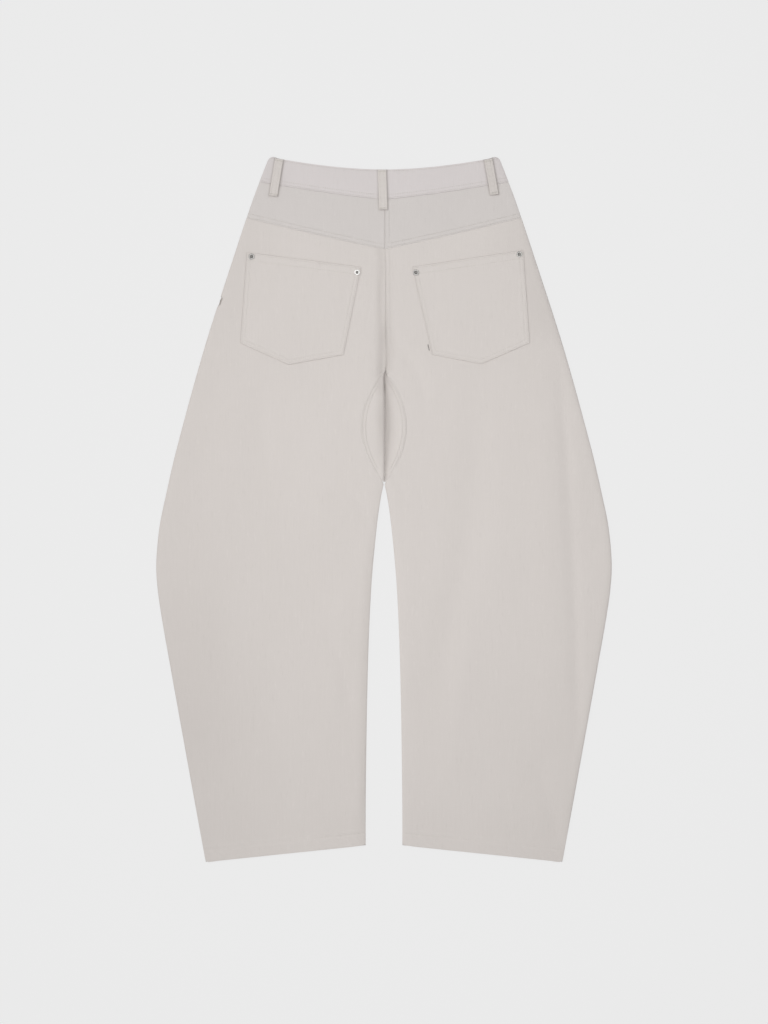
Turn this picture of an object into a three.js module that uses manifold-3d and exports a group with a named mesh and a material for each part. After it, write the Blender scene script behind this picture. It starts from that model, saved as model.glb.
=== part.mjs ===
// Barrel leg trousers in heavy ecru cotton twill, laid flat on their front and seen from the back.
// Millimetres. +Z is up, +Y points to the waist and +X to the wearer's right side.
// The origin is on the surface that the trousers lie on, under the middle of their box.

import * as THREE from 'three';
import Module from 'manifold-3d';
import { mergeVertices } from 'three/addons/utils/BufferGeometryUtils.js';

// Cloth and seams
const CLOTH = 1.5;           // one layer of twill
const BAND = 2.2;            // the waistband, doubled and pressed
const HEM_EXTRA = 0.6;       // what the turned-up hem adds to a layer
const HEM_DEPTH = 20;
const SEAM_GAP = 0.3;        // between pieces that are sewn together
const HALF_GAP = SEAM_GAP / 2;
const LAY_GAP = 0.45;        // between a panel and what is sewn on top of it

// How the back layer lies over the front layer
const SEAM_LEVEL = 1.8;      // its underside at a seam edge
const BAND_LEVEL = BAND + SEAM_GAP;  // its underside at the sides of the waist, over the front band
const LOFT = 2.3;            // how far it stands off inside the panels
const EDGE_ROUND = 17;       // width of the turn down to an edge
const FLAT_LOFT = 0.35;      // share of the loft left at the waist and at the hem
const MOST_HOLLOW = 3.9;     // the two layers of a leg are never further apart
const BAND_RISE = { from: 430, to: 482 };     // heights over which it climbs to the band's level
const WAIST_FLAT = { from: 385, to: 475 };    // heights over which it flattens to the waist
const HEM_FLAT = { from: -515, to: -430 };    // heights over which it fills out from the hem

// Heights along the garment
const CROTCH_Y = 206;        // lower end of the centre back seam
const LEGS_PART_Y = 41;      // where the two legs part
const HEM_INNER = { x: 27.4, y: -503.3 };
const HEM_OUTER = { x: 267.2, y: -528.2 };

// Half width of the garment at the side seam
const SIDE_SEAM = [
  { y: -528, half: 267.2 },
  { y: -433, half: 284.6 },
  { y: -208, half: 325.1 },
  { y: -154, half: 334.4 },
  { y: -118, half: 339.3 },
  { y: -82, half: 341.3 },
  { y: -28, half: 336.7 },
  { y: 17, half: 327.8 },
  { y: 89, half: 311.2 },
  { y: 242, half: 269.1 },
  { y: 386, half: 222.8 },
  { y: 467, half: 195.6 },
  { y: 528, half: 172.0 },
];

// Half width of the space between the legs, at the inner leg seams
const INNER_LEG = [
  { y: -528, half: 27.4 },
  { y: -433, half: 27.4 },
  { y: -244, half: 24.4 },
  { y: -118, half: 19.3 },
  { y: -28, half: 11.3 },
  { y: 17, half: 5.2 },
  { y: 41, half: HALF_GAP },
];

// Waist, yoke and front seams, each a rise from its lowest point at the centre to the sides
const WAIST_EDGE = { middle: 509.2, rise: 18.9, over: 171, power: 1.81 };
const WAIST_SEAM = { middle: 465, rise: 25.5, over: 184.5, power: 1.25 };
const YOKE_SEAM = { middle: 390.2, rise: 46, over: 204, power: 1.08 };
const FRONT_DROP = 22;       // how much lower the front waist is at its centre

// The lens of the crotch gusset, folded along its middle, and the tack that joins its halves at the top
const GUSSET_HALF = 34;
const GUSSET_FULLNESS = 0.8;
const GUSSET_ROWS = 12;
const FOLD_ROUND = 0.5;      // how far the fold's corners are rounded
const GUSSET_TACK = { half: 1.2, low: 184, high: 200, under: 0.8, thick: 1.6 };

// Large folds of the back layer: arcs from one end to the other, bowed sideways, with a soft section
const FOLDS = [
  { x1: -13, y1: 372, x2: -9, y2: 200, bow: 0, wide: 13, lift: -0.7 },
  { x1: 22, y1: 380, x2: 20, y2: 225, bow: 0, wide: 12, lift: 0.5 },
  { x1: 12, y1: 250, x2: 62, y2: 160, bow: 12, wide: 9, lift: -0.8 },
  { x1: 30, y1: 262, x2: 78, y2: 150, bow: 14, wide: 10, lift: 0.5 },
  { x1: 141, y1: 215, x2: 66, y2: -300, bow: 22, wide: 24, lift: -1.8 },
  { x1: 198, y1: 190, x2: 214, y2: -330, bow: 10, wide: 30, lift: 1.2 },
  { x1: 268, y1: 70, x2: 270, y2: -330, bow: 4, wide: 16, lift: -1.6 },
  { x1: -182, y1: 205, x2: -168, y2: 40, bow: -8, wide: 18, lift: -1.8 },
  { x1: -232, y1: 190, x2: -214, y2: -20, bow: -6, wide: 22, lift: 0.9 },
  { x1: -100, y1: 190, x2: -110, y2: -60, bow: 12, wide: 34, lift: 1.2 },
  { x1: -62, y1: 36, x2: -22, y2: -22, bow: 4, wide: 9, lift: -1.1 },
  { x1: -86, y1: -180, x2: -52, y2: -300, bow: 6, wide: 16, lift: -1.5 },
  { x1: -60, y1: -120, x2: -70, y2: -330, bow: -5, wide: 16, lift: 1.0 },
  { x1: -238, y1: -60, x2: -214, y2: -420, bow: -10, wide: 32, lift: -1.8 },
  { x1: -160, y1: -90, x2: -150, y2: -400, bow: 8, wide: 30, lift: 1.2 },
  { x1: 120, y1: -120, x2: 96, y2: -430, bow: 8, wide: 22, lift: 1.2 },
  { x1: 226, y1: -380, x2: 262, y2: -500, bow: 4, wide: 14, lift: -1.2 },
];

// Corners of the back pockets, as they lie in the photo
const POCKET_POINT = 0.52;   // where the point is, as a share of the way across
const BACK_POCKETS = [
  {
    side: 'left', insideTop: [-34.5, 363], outsideTop: [-205.5, 384.8],
    outsideEnd: [-215.3, 249.3], point: [-143, 216.8], insideEnd: [-60.8, 231.8],
  },
  {
    side: 'right', insideTop: [42.5, 363], outsideTop: [208.5, 388],
    outsideEnd: [218, 249.8], point: [145.8, 218], insideEnd: [72, 232],
  },
];

// Belt loops on the back, from the waist edge down to the yoke
const LOOP_WIDE = 12.8;
const LOOP_THICK = 1.8;
const LOOP_BOW = 0.6;        // how far its middle stands off for the belt
const LOOP_CLEAR = 0.55;     // under its ends, over the slope of the yoke
const BACK_LOOPS = [
  { name: 'belt_loop_back_centre', topX: -3, topY: 508.2, endX: -1, endY: 449 },
  { name: 'belt_loop_back_left', topX: -157, topY: 524.2, endX: -166, endY: 469.5 },
  { name: 'belt_loop_back_right', topX: 156, topY: 523.8, endX: 165.5, endY: 471.5 },
];
const FRONT_LOOP_X = 92;
const FRONT_LOOP_SHORT = 0.8;  // how far it stops inside the band's edges
const INSET_DEPTH = 1.2;     // front loops and button lie flush in the pressed band
const TURNED_EDGE = 0.6;     // how much a turned or cut edge is bevelled
const BAND_CORNER = 6;       // radius of the band's upper corners

// Metal
const RIVET = { radius: 4.5, rim: 1.5, dish: 0.7, eye: 1.6 };
const POCKET_RIVETS = [
  { name: 'rivet_left_outer', x: -198.2, y: 378.7 },
  { name: 'rivet_left_inner', x: -40.2, y: 355 },
  { name: 'rivet_right_inner', x: 47.8, y: 354.8 },
  { name: 'rivet_right_outer', x: 202.6, y: 382 },
];
const SIDE_RIVETS = [        // at the lower end of the front pocket mouth, just inside the side seam
  { name: 'left', side: -1, y: 312, inset: 5.6 },
  { name: 'right', side: 1, y: 312, inset: 6.5 },
];
const DRAWN_IN = { side: -1, y: 312, deep: 3.4, from: 4, to: 9 };  // where the left side seam shows its rivet
const RIVET_STEPS = 20;
const BUTTON_STEPS = 28;
const BUTTON = { radius: 8.5, dish: 0.3, round: 0.4 };
const ZIP = { half: 11, low: 300, shortOfSeam: 2, thick: 1 };

// Front pocket mouth, a quarter ellipse from the waist seam to the side seam
const MOUTH = { waistX: 108, sideY: 318 };
const SIDE_TOP = 526;        // top of the side seams
const BAND_END_X = 16;       // the left front band laps over the right one as far as this

const CLOTH_COLOUR = 0xd1cdc8;
const METAL_COLOUR = 0xb9b9b6;

const WELD = 1e-3;           // points nearer than this are one corner
const START_X = 100;         // any place on the garment, from which a crossing is found step by step
const CROSSING_STEPS = 12;

const wasm = await Module();
wasm.setup();

const mix = (a, b, t) => a + (b - a) * t;
const clamp = THREE.MathUtils.clamp;
const smooth = THREE.MathUtils.smoothstep;

// A smooth curve through the rows of a table, as half width over y.
function tableCurve(rows) {
  const slope = rows.map((row, i) => {
    const before = rows[Math.max(i - 1, 0)];
    const after = rows[Math.min(i + 1, rows.length - 1)];
    return (after.half - before.half) / (after.y - before.y);
  });
  return (y) => {
    let i = 0;
    while (i < rows.length - 2 && y > rows[i + 1].y) i += 1;
    const step = rows[i + 1].y - rows[i].y;
    const t = clamp((y - rows[i].y) / step, 0, 1);
    const rest = 1 - t;
    return rest * rest * (1 + 2 * t) * rows[i].half
      + t * t * (3 - 2 * t) * rows[i + 1].half
      + t * rest * rest * step * slope[i]
      - t * t * rest * step * slope[i + 1];
  };
}

const sideSeam = tableCurve(SIDE_SEAM);
const innerLegTable = tableCurve(INNER_LEG);

const risingSeam = (seam) => (x) => (
  seam.middle + seam.rise * (Math.abs(x) / seam.over) ** seam.power
);
const waistEdge = risingSeam(WAIST_EDGE);
const waistSeam = risingSeam(WAIST_SEAM);
const yokeSeam = risingSeam(YOKE_SEAM);
const frontDrop = (x) => FRONT_DROP * Math.max(0, 1 - (x / WAIST_SEAM.over) ** 2);
const frontEdge = (x) => waistEdge(x) - frontDrop(x);
const frontSeam = (x) => waistSeam(x) - frontDrop(x);

function hemLine(x) {
  const t = (Math.abs(x) - HEM_INNER.x) / (HEM_OUTER.x - HEM_INNER.x);
  return mix(HEM_INNER.y, HEM_OUTER.y, t);
}

const innerLeg = (y) => (y < LEGS_PART_Y ? innerLegTable(y) : HALF_GAP);

function gussetHalf(y) {
  const s = clamp((CROTCH_Y - y) / (CROTCH_Y - LEGS_PART_Y), 0, 1);
  return GUSSET_HALF * Math.sin(Math.PI * s) ** GUSSET_FULLNESS;
}

// Heights that all the pieces along the gusset seam share, so that their edges run side by side
const gussetRows = () => steps(GUSSET_ROWS).map((t) => (
  mix(LEGS_PART_Y, CROTCH_Y, (1 - Math.cos(Math.PI * t)) / 2)
));

// Half width of the leg panel's inner side: centre seam, gusset seam, then inner leg seam.
const panelInner = (y) => Math.max(innerLeg(y), gussetHalf(y) + HALF_GAP);

function foldLift(x, y) {
  let lift = 0;
  for (const fold of FOLDS) {
    const dx = fold.x2 - fold.x1;
    const dy = fold.y2 - fold.y1;
    const long = Math.hypot(dx, dy);
    const along = ((x - fold.x1) * dx + (y - fold.y1) * dy) / (long * long);
    const aside = ((x - fold.x1) * -dy + (y - fold.y1) * dx) / long;
    const bowed = aside - fold.bow * 4 * along * (1 - along);
    const ends = smooth(along, -0.12, 0.2) * (1 - smooth(along, 0.8, 1.12));
    lift += fold.lift * ends * Math.exp(-((bowed / fold.wide) ** 2));
  }
  return lift;
}

// The underside of the back layer over any point of the garment.
function underside(x, y) {
  const half = Math.abs(x);
  const toSide = sideSeam(y) - half;
  const toInner = y > CROTCH_Y ? Math.hypot(half, y - CROTCH_Y) : half - innerLeg(y);
  const near = clamp(Math.min(toSide, toInner) / EDGE_ROUND, 0, 1);
  const rise = Math.sqrt(1 - (1 - near) ** 2);
  const waist = smooth(y, WAIST_FLAT.from, WAIST_FLAT.to);
  const hem = 1 - smooth(y, HEM_FLAT.from, HEM_FLAT.to);
  const standOff = LOFT * mix(1, FLAT_LOFT, Math.max(waist, hem)) * rise;
  const folds = foldLift(x, y) * rise * (1 - waist);
  const level = mix(SEAM_LEVEL, BAND_LEVEL, smooth(y, BAND_RISE.from, BAND_RISE.to));
  return clamp(level + standOff + folds, level, CLOTH + MOST_HOLLOW);
}

// A closed mesh from loose triangles, turned to face outwards.
function closedMesh(points, triangles) {
  const geometry = new THREE.BufferGeometry();
  const p = points.flat();
  let volume = 0;
  for (const [a, b, c] of triangles) {
    const [ax, ay, az] = points[a];
    const [bx, by, bz] = points[b];
    const [cx, cy, cz] = points[c];
    volume += ax * (by * cz - bz * cy) + ay * (bz * cx - bx * cz) + az * (bx * cy - by * cx);
  }
  const faces = volume < 0 ? triangles.map(([a, b, c]) => [a, c, b]) : triangles;
  geometry.setAttribute('position', new THREE.Float32BufferAttribute(p, 3));
  geometry.setIndex(faces.flat());
  geometry.computeVertexNormals();
  return geometry;
}

// A sheet with thickness: place(u, v) gives x, y, its lower and its upper face.
function shell(acrossSteps, alongSteps, place) {
  const upper = [];
  const lower = [];
  for (const v of alongSteps) {
    for (const u of acrossSteps) {
      const { x, y, low, high } = place(u, v);
      upper.push([x, y, high]);
      lower.push([x, y, low]);
    }
  }
  const wide = acrossSteps.length;
  const tall = alongSteps.length;
  const under = wide * tall;
  const triangles = [];
  const quad = (a, b, c, d) => triangles.push([a, b, c], [a, c, d]);
  for (let j = 0; j < tall - 1; j += 1) {
    for (let i = 0; i < wide - 1; i += 1) {
      const a = j * wide + i;
      quad(a, a + 1, a + wide + 1, a + wide);
      quad(under + a, under + a + wide, under + a + wide + 1, under + a + 1);
    }
  }
  const rim = [];
  for (let i = 0; i < wide; i += 1) rim.push(i);
  for (let j = 1; j < tall; j += 1) rim.push(j * wide + wide - 1);
  for (let i = wide - 2; i >= 0; i -= 1) rim.push((tall - 1) * wide + i);
  for (let j = tall - 2; j > 0; j -= 1) rim.push(j * wide);
  rim.forEach((a, k) => {
    const b = rim[(k + 1) % rim.length];
    quad(a, under + a, under + b, b);
  });
  return closedMesh(upper.concat(lower), triangles);
}

// A solid through equal rings of points, with flat ends.
function throughRings(rings) {
  const points = rings.flat();
  const round = rings[0].length;
  const triangles = [];
  for (let j = 0; j < rings.length - 1; j += 1) {
    for (let i = 0; i < round; i += 1) {
      const next = (i + 1) % round;
      const a = j * round + i;
      const b = j * round + next;
      triangles.push([a, b, b + round], [a, b + round, a + round]);
    }
  }
  const outline = rings[0].map(([x, , z]) => new THREE.Vector2(x, z));
  const turn = Math.sign(THREE.ShapeUtils.area(outline));
  const last = (rings.length - 1) * round;
  for (const cap of THREE.ShapeUtils.triangulateShape(outline, [])) {
    const same = Math.sign(THREE.ShapeUtils.area(cap.map((i) => outline[i]))) === turn;
    const forward = same ? cap : cap.slice().reverse();
    triangles.push(forward.slice().reverse());
    triangles.push(forward.map((i) => last + i));
  }
  return closedMesh(points, triangles);
}

// A flat plate from an outline, with its lower face at z.
function plate(outline, z, thick) {
  const shape = new THREE.Shape(outline.map(([x, y]) => new THREE.Vector2(x, y)));
  const geometry = new THREE.ExtrudeGeometry(shape, { depth: thick, bevelEnabled: false });
  return geometry.translate(0, 0, z);
}

function toSolid(geometry) {
  const bare = new THREE.BufferGeometry();
  bare.setAttribute('position', geometry.getAttribute('position'));
  if (geometry.index) bare.setIndex(geometry.index);
  const merged = mergeVertices(bare, WELD);
  return new wasm.Manifold(new wasm.Mesh({
    numProp: 3,
    vertProperties: merged.attributes.position.array,
    triVerts: new Uint32Array(merged.index.array),
  }));
}

function toGeometry(solid) {
  const mesh = solid.getMesh();
  const geometry = new THREE.BufferGeometry();
  geometry.setAttribute('position', new THREE.BufferAttribute(mesh.vertProperties, 3));
  geometry.setIndex(new THREE.BufferAttribute(mesh.triVerts, 1));
  geometry.computeVertexNormals();
  return geometry;
}

const steps = (count, from = 0, to = 1) => (
  Array.from({ length: count + 1 }, (_, i) => mix(from, to, i / count))
);

// Stations across a panel, closer together where it turns down to its edges.
const ACROSS = [
  0, 0.018, 0.055, 0.11, 0.18, 0.26, 0.34, 0.42, 0.5, 0.58, 0.66, 0.74, 0.82, 0.9, 0.955, 0.985, 1,
];

// A point between two sides and two ends that are curves of each other.
function between(inner, outer, lowLine, highLine, u, v) {
  let y = mix(lowLine(START_X), highLine(START_X), v);
  let x = 0;
  for (let pass = 0; pass < CROSSING_STEPS; pass += 1) {
    x = mix(inner(y), outer(y), u);
    y = mix(lowLine(x), highLine(x), v);
  }
  return [x, y];
}

// How far the back leg's edge is drawn in beside the side rivet.
function drawnIn(side, y) {
  if (side !== DRAWN_IN.side) return 0;
  return DRAWN_IN.deep * (1 - smooth(Math.abs(y - DRAWN_IN.y), DRAWN_IN.from, DRAWN_IN.to));
}

function backLeg(side) {
  const yokeLine = (x) => yokeSeam(x) - HALF_GAP;
  const rowThrough = (x, y) => (y - hemLine(x)) / (yokeLine(x) - hemLine(x));
  const rowAt = (y) => rowThrough(panelInner(y), y);
  const hemTop = HEM_INNER.y + HEM_DEPTH;
  const heights = [
    HEM_INNER.y, hemTop - 1, ...steps(17, hemTop + 1, LEGS_PART_Y),
    ...gussetRows().slice(1), ...steps(7, CROTCH_Y, yokeLine(0)).slice(1),
  ];
  const rivetHeights = steps(4, DRAWN_IN.y - DRAWN_IN.to, DRAWN_IN.y + DRAWN_IN.to);
  const rivetRows = rivetHeights.map((y) => rowThrough(sideSeam(y), y));
  const rows = [...heights.map(rowAt), ...rivetRows].sort((a, b) => a - b);
  return shell(ACROSS, rows, (u, v) => {
    const [seamX, y] = between(panelInner, sideSeam, hemLine, yokeLine, u, v);
    const x = seamX - drawnIn(side, y) * smooth(u, 0.9, 1);
    const under = underside(side * x, y);
    const extra = v < rowAt(hemTop) ? HEM_EXTRA / 2 : 0;
    const low = Math.max(under - extra, SEAM_LEVEL);
    return { x: side * x, y, low, high: under + CLOTH + extra };
  });
}

function yoke(side) {
  const across = [0, 0.05, 0.15, 0.3, 0.45, 0.6, 0.75, 0.88, 0.96, 1];
  return shell(across, steps(3), (u, v) => {
    const [x, y] = between(
      () => HALF_GAP, sideSeam,
      (at) => yokeSeam(at) + HALF_GAP, (at) => waistSeam(at) - HALF_GAP, u, v,
    );
    const low = underside(side * x, y);
    return { x: side * x, y, low, high: low + CLOTH };
  });
}

function backWaistband() {
  const across = steps(24, -1, 1);
  return shell(across, [0, 0.06, 0.5, 0.85, 0.94, 1], (u, v) => {
    const [x, y] = between(
      () => 0, (at) => sideSeam(at) * Math.sign(u || 1),
      (at) => waistSeam(at) + HALF_GAP, waistEdge, Math.abs(u), v,
    );
    const low = underside(x, y);
    const turned = v === 0 || v === 1 || Math.abs(u) === 1 ? TURNED_EDGE : 0;
    const intoCorner = Math.max(0, BAND_CORNER - (waistEdge(x) - y));
    const pull = BAND_CORNER - Math.sqrt(BAND_CORNER ** 2 - intoCorner ** 2);
    const corner = Math.abs(u) === 1 ? u * pull : 0;
    return { x: x - corner, y, low, high: low + BAND - turned };
  });
}

// Half of the gusset: it runs from the back seam round the fold between the legs to the front seam.
function gussetWrap(side) {
  const rings = gussetRows().slice(1, -1).map((y) => {
    const seam = gussetHalf(y) - HALF_GAP;
    const inside = HALF_GAP + CLOTH;
    const xs = [1, 0.7, 0.4, 0.15].map((t) => mix(inside, seam, t));
    const top = underside(side * inside, y) + CLOTH;
    const ring = [
      ...xs.map((x) => [x, underside(side * x, y) + CLOTH]),
      [HALF_GAP + FOLD_ROUND, top],
      [HALF_GAP, top - FOLD_ROUND],
      [HALF_GAP, FOLD_ROUND],
      [HALF_GAP + FOLD_ROUND, 0],
      [seam, 0],
      [seam, CLOTH],
      [inside, CLOTH],
      [inside, underside(side * inside, y)],
      ...xs.slice().reverse().map((x) => [x, underside(side * x, y)]),
    ];
    return ring.map(([x, z]) => [side * x, y, z]);
  });
  return throughRings(rings);
}

function gusset() {
  const { half, low, high, under, thick } = GUSSET_TACK;
  const tack = plate([[-half, low], [half, low], [half, high], [-half, high]], under, thick);
  const whole = toSolid(gussetWrap(-1)).add(toSolid(gussetWrap(1))).add(toSolid(tack));
  return toGeometry(whole);
}

const sideRivetPlace = ({ side, y, inset }) => [side * (sideSeam(y) - inset), y];

// Where the side seam is drawn in, the hole for the rivet is open to the side.
function withRivetHole(geometry, side) {
  const [x, y] = sideRivetPlace(SIDE_RIVETS.find((one) => one.side === side));
  const radius = RIVET.radius + SEAM_GAP;
  const hole = new THREE.CylinderGeometry(radius, radius, 4 * CLOTH, RIVET_STEPS);
  hole.rotateX(Math.PI / 2).translate(x, y, 0);
  const whole = toSolid(geometry).subtract(toSolid(hole));
  if (side !== DRAWN_IN.side) return toGeometry(whole);
  const slot = new THREE.BoxGeometry(2 * radius, 2 * radius, 4 * CLOTH);
  return toGeometry(whole.subtract(toSolid(slot.translate(x + side * radius, y, 0))));
}

// The pocket mouth, moved inwards or outwards for the gap to its neighbour.
function mouthCurve(shift) {
  const waistY = frontSeam(MOUTH.waistX);
  const sideX = sideSeam(MOUTH.sideY);
  return steps(9).map((t) => {
    const angle = t * Math.PI / 2;
    return [
      mix(MOUTH.waistX, sideX, 1 - Math.cos(angle)) + shift,
      mix(waistY, MOUTH.sideY, Math.sin(angle)) + shift,
    ];
  });
}

function frontLeg(side) {
  const mouth = mouthCurve(-HALF_GAP);
  const top = steps(8, HALF_GAP, mouth[0][0]).map((x) => [x, frontSeam(x) - HALF_GAP]);
  const outer = steps(24, MOUTH.sideY - HALF_GAP, HEM_OUTER.y).map((y) => [sideSeam(y), y]);
  const inner = [...steps(12, HEM_INNER.y, LEGS_PART_Y), ...gussetRows().slice(1)];
  const inseam = inner.map((y) => [panelInner(y), y]);
  const outline = [...top, ...mouth.slice(1, -1), ...outer, ...inseam];
  return withRivetHole(plate(outline.map(([x, y]) => [side * x, y]), 0, CLOTH), side);
}

function pocketFacing(side) {
  const mouth = mouthCurve(HALF_GAP);
  const lastY = MOUTH.sideY + HALF_GAP;
  const bandX = sideSeam(waistSeam(WAIST_SEAM.over));
  const seam = steps(4, bandX, mouth[0][0]).map((x) => [x, frontSeam(x) - HALF_GAP]);
  const outer = steps(8, lastY, seam[0][1]).map((y) => [sideSeam(y), y]);
  const outline = [...mouth.slice(1, -1), ...outer, ...seam.slice(1)];
  return withRivetHole(plate(outline.map(([x, y]) => [side * x, y]), 0, CLOTH), side);
}

// A front band with hollows pressed into its face for the loop and the button that lie flush in it.
function frontBand(side) {
  const start = side * BAND_END_X + HALF_GAP;
  const outX = sideSeam(SIDE_TOP);
  const stations = steps(14, Math.max(start, 0), outX);
  if (start < 0) stations.unshift(start, start / 2);
  const edge = stations.map((x) => [x, frontEdge(x)]);
  const seam = stations.map((x) => [x, frontSeam(x) + HALF_GAP]);
  const low = sideSeam(waistSeam(WAIST_SEAM.over));
  const outline = [...edge, [low, frontSeam(low) + HALF_GAP], ...seam.reverse()];
  let solid = toSolid(plate(outline.map(([x, y]) => [side * x, y]), 0, BAND));
  solid = solid.subtract(toSolid(frontLoopHollow(side)));
  if (side < 0) {
    const hollow = new THREE.CylinderGeometry(
      BUTTON.radius + SEAM_GAP, BUTTON.radius + SEAM_GAP, 2 * (INSET_DEPTH + SEAM_GAP), BUTTON_STEPS,
    );
    const [x, y] = buttonPlace();
    solid = solid.subtract(toSolid(hollow.rotateX(Math.PI / 2).translate(x, y, 0)));
  }
  return toGeometry(solid);
}

const buttonPlace = () => [0, mix(frontSeam(0), frontEdge(0), 0.5)];

// A strip across the front band. past is how far it runs beyond the band's two edges.
function bandStrip(side, half, past, low, high) {
  const [near, far] = [FRONT_LOOP_X - half, FRONT_LOOP_X + half];
  const onSeam = (x) => [side * x, frontSeam(x) - past];
  const onEdge = (x) => [side * x, frontEdge(x) + past];
  return plate([onSeam(near), onSeam(far), onEdge(far), onEdge(near)], low, high - low);
}

const frontLoop = (side) => bandStrip(side, LOOP_WIDE / 2, -FRONT_LOOP_SHORT, 0, INSET_DEPTH);

const frontLoopHollow = (side) => (
  bandStrip(side, LOOP_WIDE / 2 + SEAM_GAP, BAND, -BAND, INSET_DEPTH + SEAM_GAP)
);

// A patch pocket over the back panel, following it point by point.
function backPocket(corners) {
  const across = [0, 0.03, 0.15, 0.27, 0.39, POCKET_POINT, 0.64, 0.76, 0.88, 0.97, 1];
  return shell(across, [0, 0.04, 0.2, 0.36, 0.52, 0.68, 0.84, 0.97, 1], (u, v) => {
    const [fromA, fromB, share] = u < POCKET_POINT
      ? [corners.insideEnd, corners.point, u / POCKET_POINT]
      : [corners.point, corners.outsideEnd, (u - POCKET_POINT) / (1 - POCKET_POINT)];
    const endX = mix(fromA[0], fromB[0], share);
    const endY = mix(fromA[1], fromB[1], share);
    const topX = mix(corners.insideTop[0], corners.outsideTop[0], u);
    const topY = mix(corners.insideTop[1], corners.outsideTop[1], u);
    const x = mix(endX, topX, v);
    const y = mix(endY, topY, v);
    const low = underside(x, y) + CLOTH + LAY_GAP;
    const onEdge = u === 0 || u === 1 || v === 0 || v === 1;
    return { x, y, low, high: low + (onEdge ? CLOTH - TURNED_EDGE : CLOTH) };
  });
}

const pocketTop = (x, y) => underside(x, y) + 2 * CLOTH + LAY_GAP;

function backLoop({ topX, topY, endX, endY }) {
  const middle = (topX + endX) / 2;
  const seamAt = (topY - waistSeam(middle)) / (topY - endY);
  const bandTop = underside(middle, waistSeam(middle)) + BAND + LAY_GAP;
  const yokeTop = underside(endX, endY) + CLOTH + LOOP_CLEAR;
  const long = Math.hypot(endX - topX, endY - topY);
  const aside = [(topY - endY) / long, (endX - topX) / long];
  const [offBand, onYoke] = [seamAt + 0.03, seamAt + 0.16];
  const along = [0, 0.03, 0.12, 0.3, 0.5, offBand, onYoke, 0.97, 1].sort((a, b) => a - b);
  return shell([-1, -0.8, 0.8, 1], along, (u, v) => {
    const down = smooth(v, offBand, onYoke);
    const bow = LOOP_BOW * Math.sin(Math.PI * Math.min(v / 0.9, 1));
    const low = mix(bandTop, yokeTop, down) + bow;
    const onEdge = Math.abs(u) === 1 || v === 0 || v === 1;
    const off = u * LOOP_WIDE / 2;
    return {
      x: mix(topX, endX, v) + aside[0] * off,
      y: mix(topY, endY, v) + aside[1] * off,
      low,
      high: low + (onEdge ? LOOP_THICK - TURNED_EDGE : LOOP_THICK),
    };
  });
}

// A turned piece: its half profile, as radius and height, spun about an upright axis.
function turned(profile, around) {
  const points = profile.map(([r, z]) => new THREE.Vector2(r, z));
  return new THREE.LatheGeometry(points, around).rotateX(Math.PI / 2);
}

// A rivet: a domed ring round a sunken eye.
function rivet() {
  const { radius, rim, dish, eye } = RIVET;
  return turned([
    [0, 0], [radius, 0], [radius, rim * 0.55], [radius * 0.8, rim],
    [radius * 0.55, rim * 0.9], [eye, dish], [0, dish],
  ], RIVET_STEPS);
}

// The button faces down: a raised rim round a flat middle, flush in the pressed band.
function button() {
  const { radius, dish, round } = BUTTON;
  return turned([
    [0, dish], [radius * 0.6, dish], [radius * 0.7, 0], [radius * 0.92, 0],
    [radius, round], [radius, INSET_DEPTH], [0, INSET_DEPTH],
  ], BUTTON_STEPS);
}

const trousers = new THREE.Group();
trousers.name = 'barrel_leg_trousers';

const twill = new THREE.MeshStandardMaterial({ color: CLOTH_COLOUR, roughness: 0.9, metalness: 0 });
const metal = new THREE.MeshStandardMaterial({ color: METAL_COLOUR, roughness: 0.35, metalness: 1 });

function add(name, geometry, material) {
  const mesh = new THREE.Mesh(geometry, material.clone());
  mesh.name = name;
  trousers.add(mesh);
  return mesh;
}

for (const [name, side] of [['left', -1], ['right', 1]]) {
  add(`front_leg_${name}`, frontLeg(side), twill);
  add(`pocket_facing_${name}`, pocketFacing(side), twill);
  add(`waistband_front_${name}`, frontBand(side), twill);
  add(`belt_loop_front_${name}`, frontLoop(side), twill);
  add(`back_leg_${name}`, backLeg(side), twill);
  add(`yoke_${name}`, yoke(side), twill);
}
add('waistband_back', backWaistband(), twill);
add('crotch_gusset', gusset(), twill);
for (const corners of BACK_POCKETS) {
  add(`back_pocket_${corners.side}`, backPocket(corners), twill);
}
for (const loop of BACK_LOOPS) add(loop.name, backLoop(loop), twill);

const zipTop = frontSeam(0) - ZIP.shortOfSeam;
const zipOutline = [[-ZIP.half, ZIP.low], [ZIP.half, ZIP.low], [ZIP.half, zipTop], [-ZIP.half, zipTop]];
add('fly_zip', plate(zipOutline, CLOTH + SEAM_GAP, ZIP.thick), twill);

const [buttonX, buttonY] = buttonPlace();
add('waist_button', button(), metal).position.set(buttonX, buttonY, 0);

for (const { name, x, y } of POCKET_RIVETS) {
  add(name, rivet(), metal).position.set(x, y, pocketTop(x, y) + SEAM_GAP);
}

for (const one of SIDE_RIVETS) {
  const [x, y] = sideRivetPlace(one);
  const head = add(`rivet_side_${one.name}`, rivet(), metal);
  head.rotation.x = Math.PI;
  head.position.set(x, y, RIVET.rim);
}

export default trousers;
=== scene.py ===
# %% [markdown]
# # Barrel leg trousers, laid flat on their front
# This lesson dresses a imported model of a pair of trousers. The garment lies face down, so we look at the
# back: waistband and belt loops, a V-shaped yoke, two patch pockets, two wide curved legs and a
# lens-shaped crotch gusset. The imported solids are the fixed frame. Every piece below is made in the same
# place as the solid that it stands for.

# %% Load the frame
import math
import random

import bmesh
import bpy
from mathutils import Matrix, Vector


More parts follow.
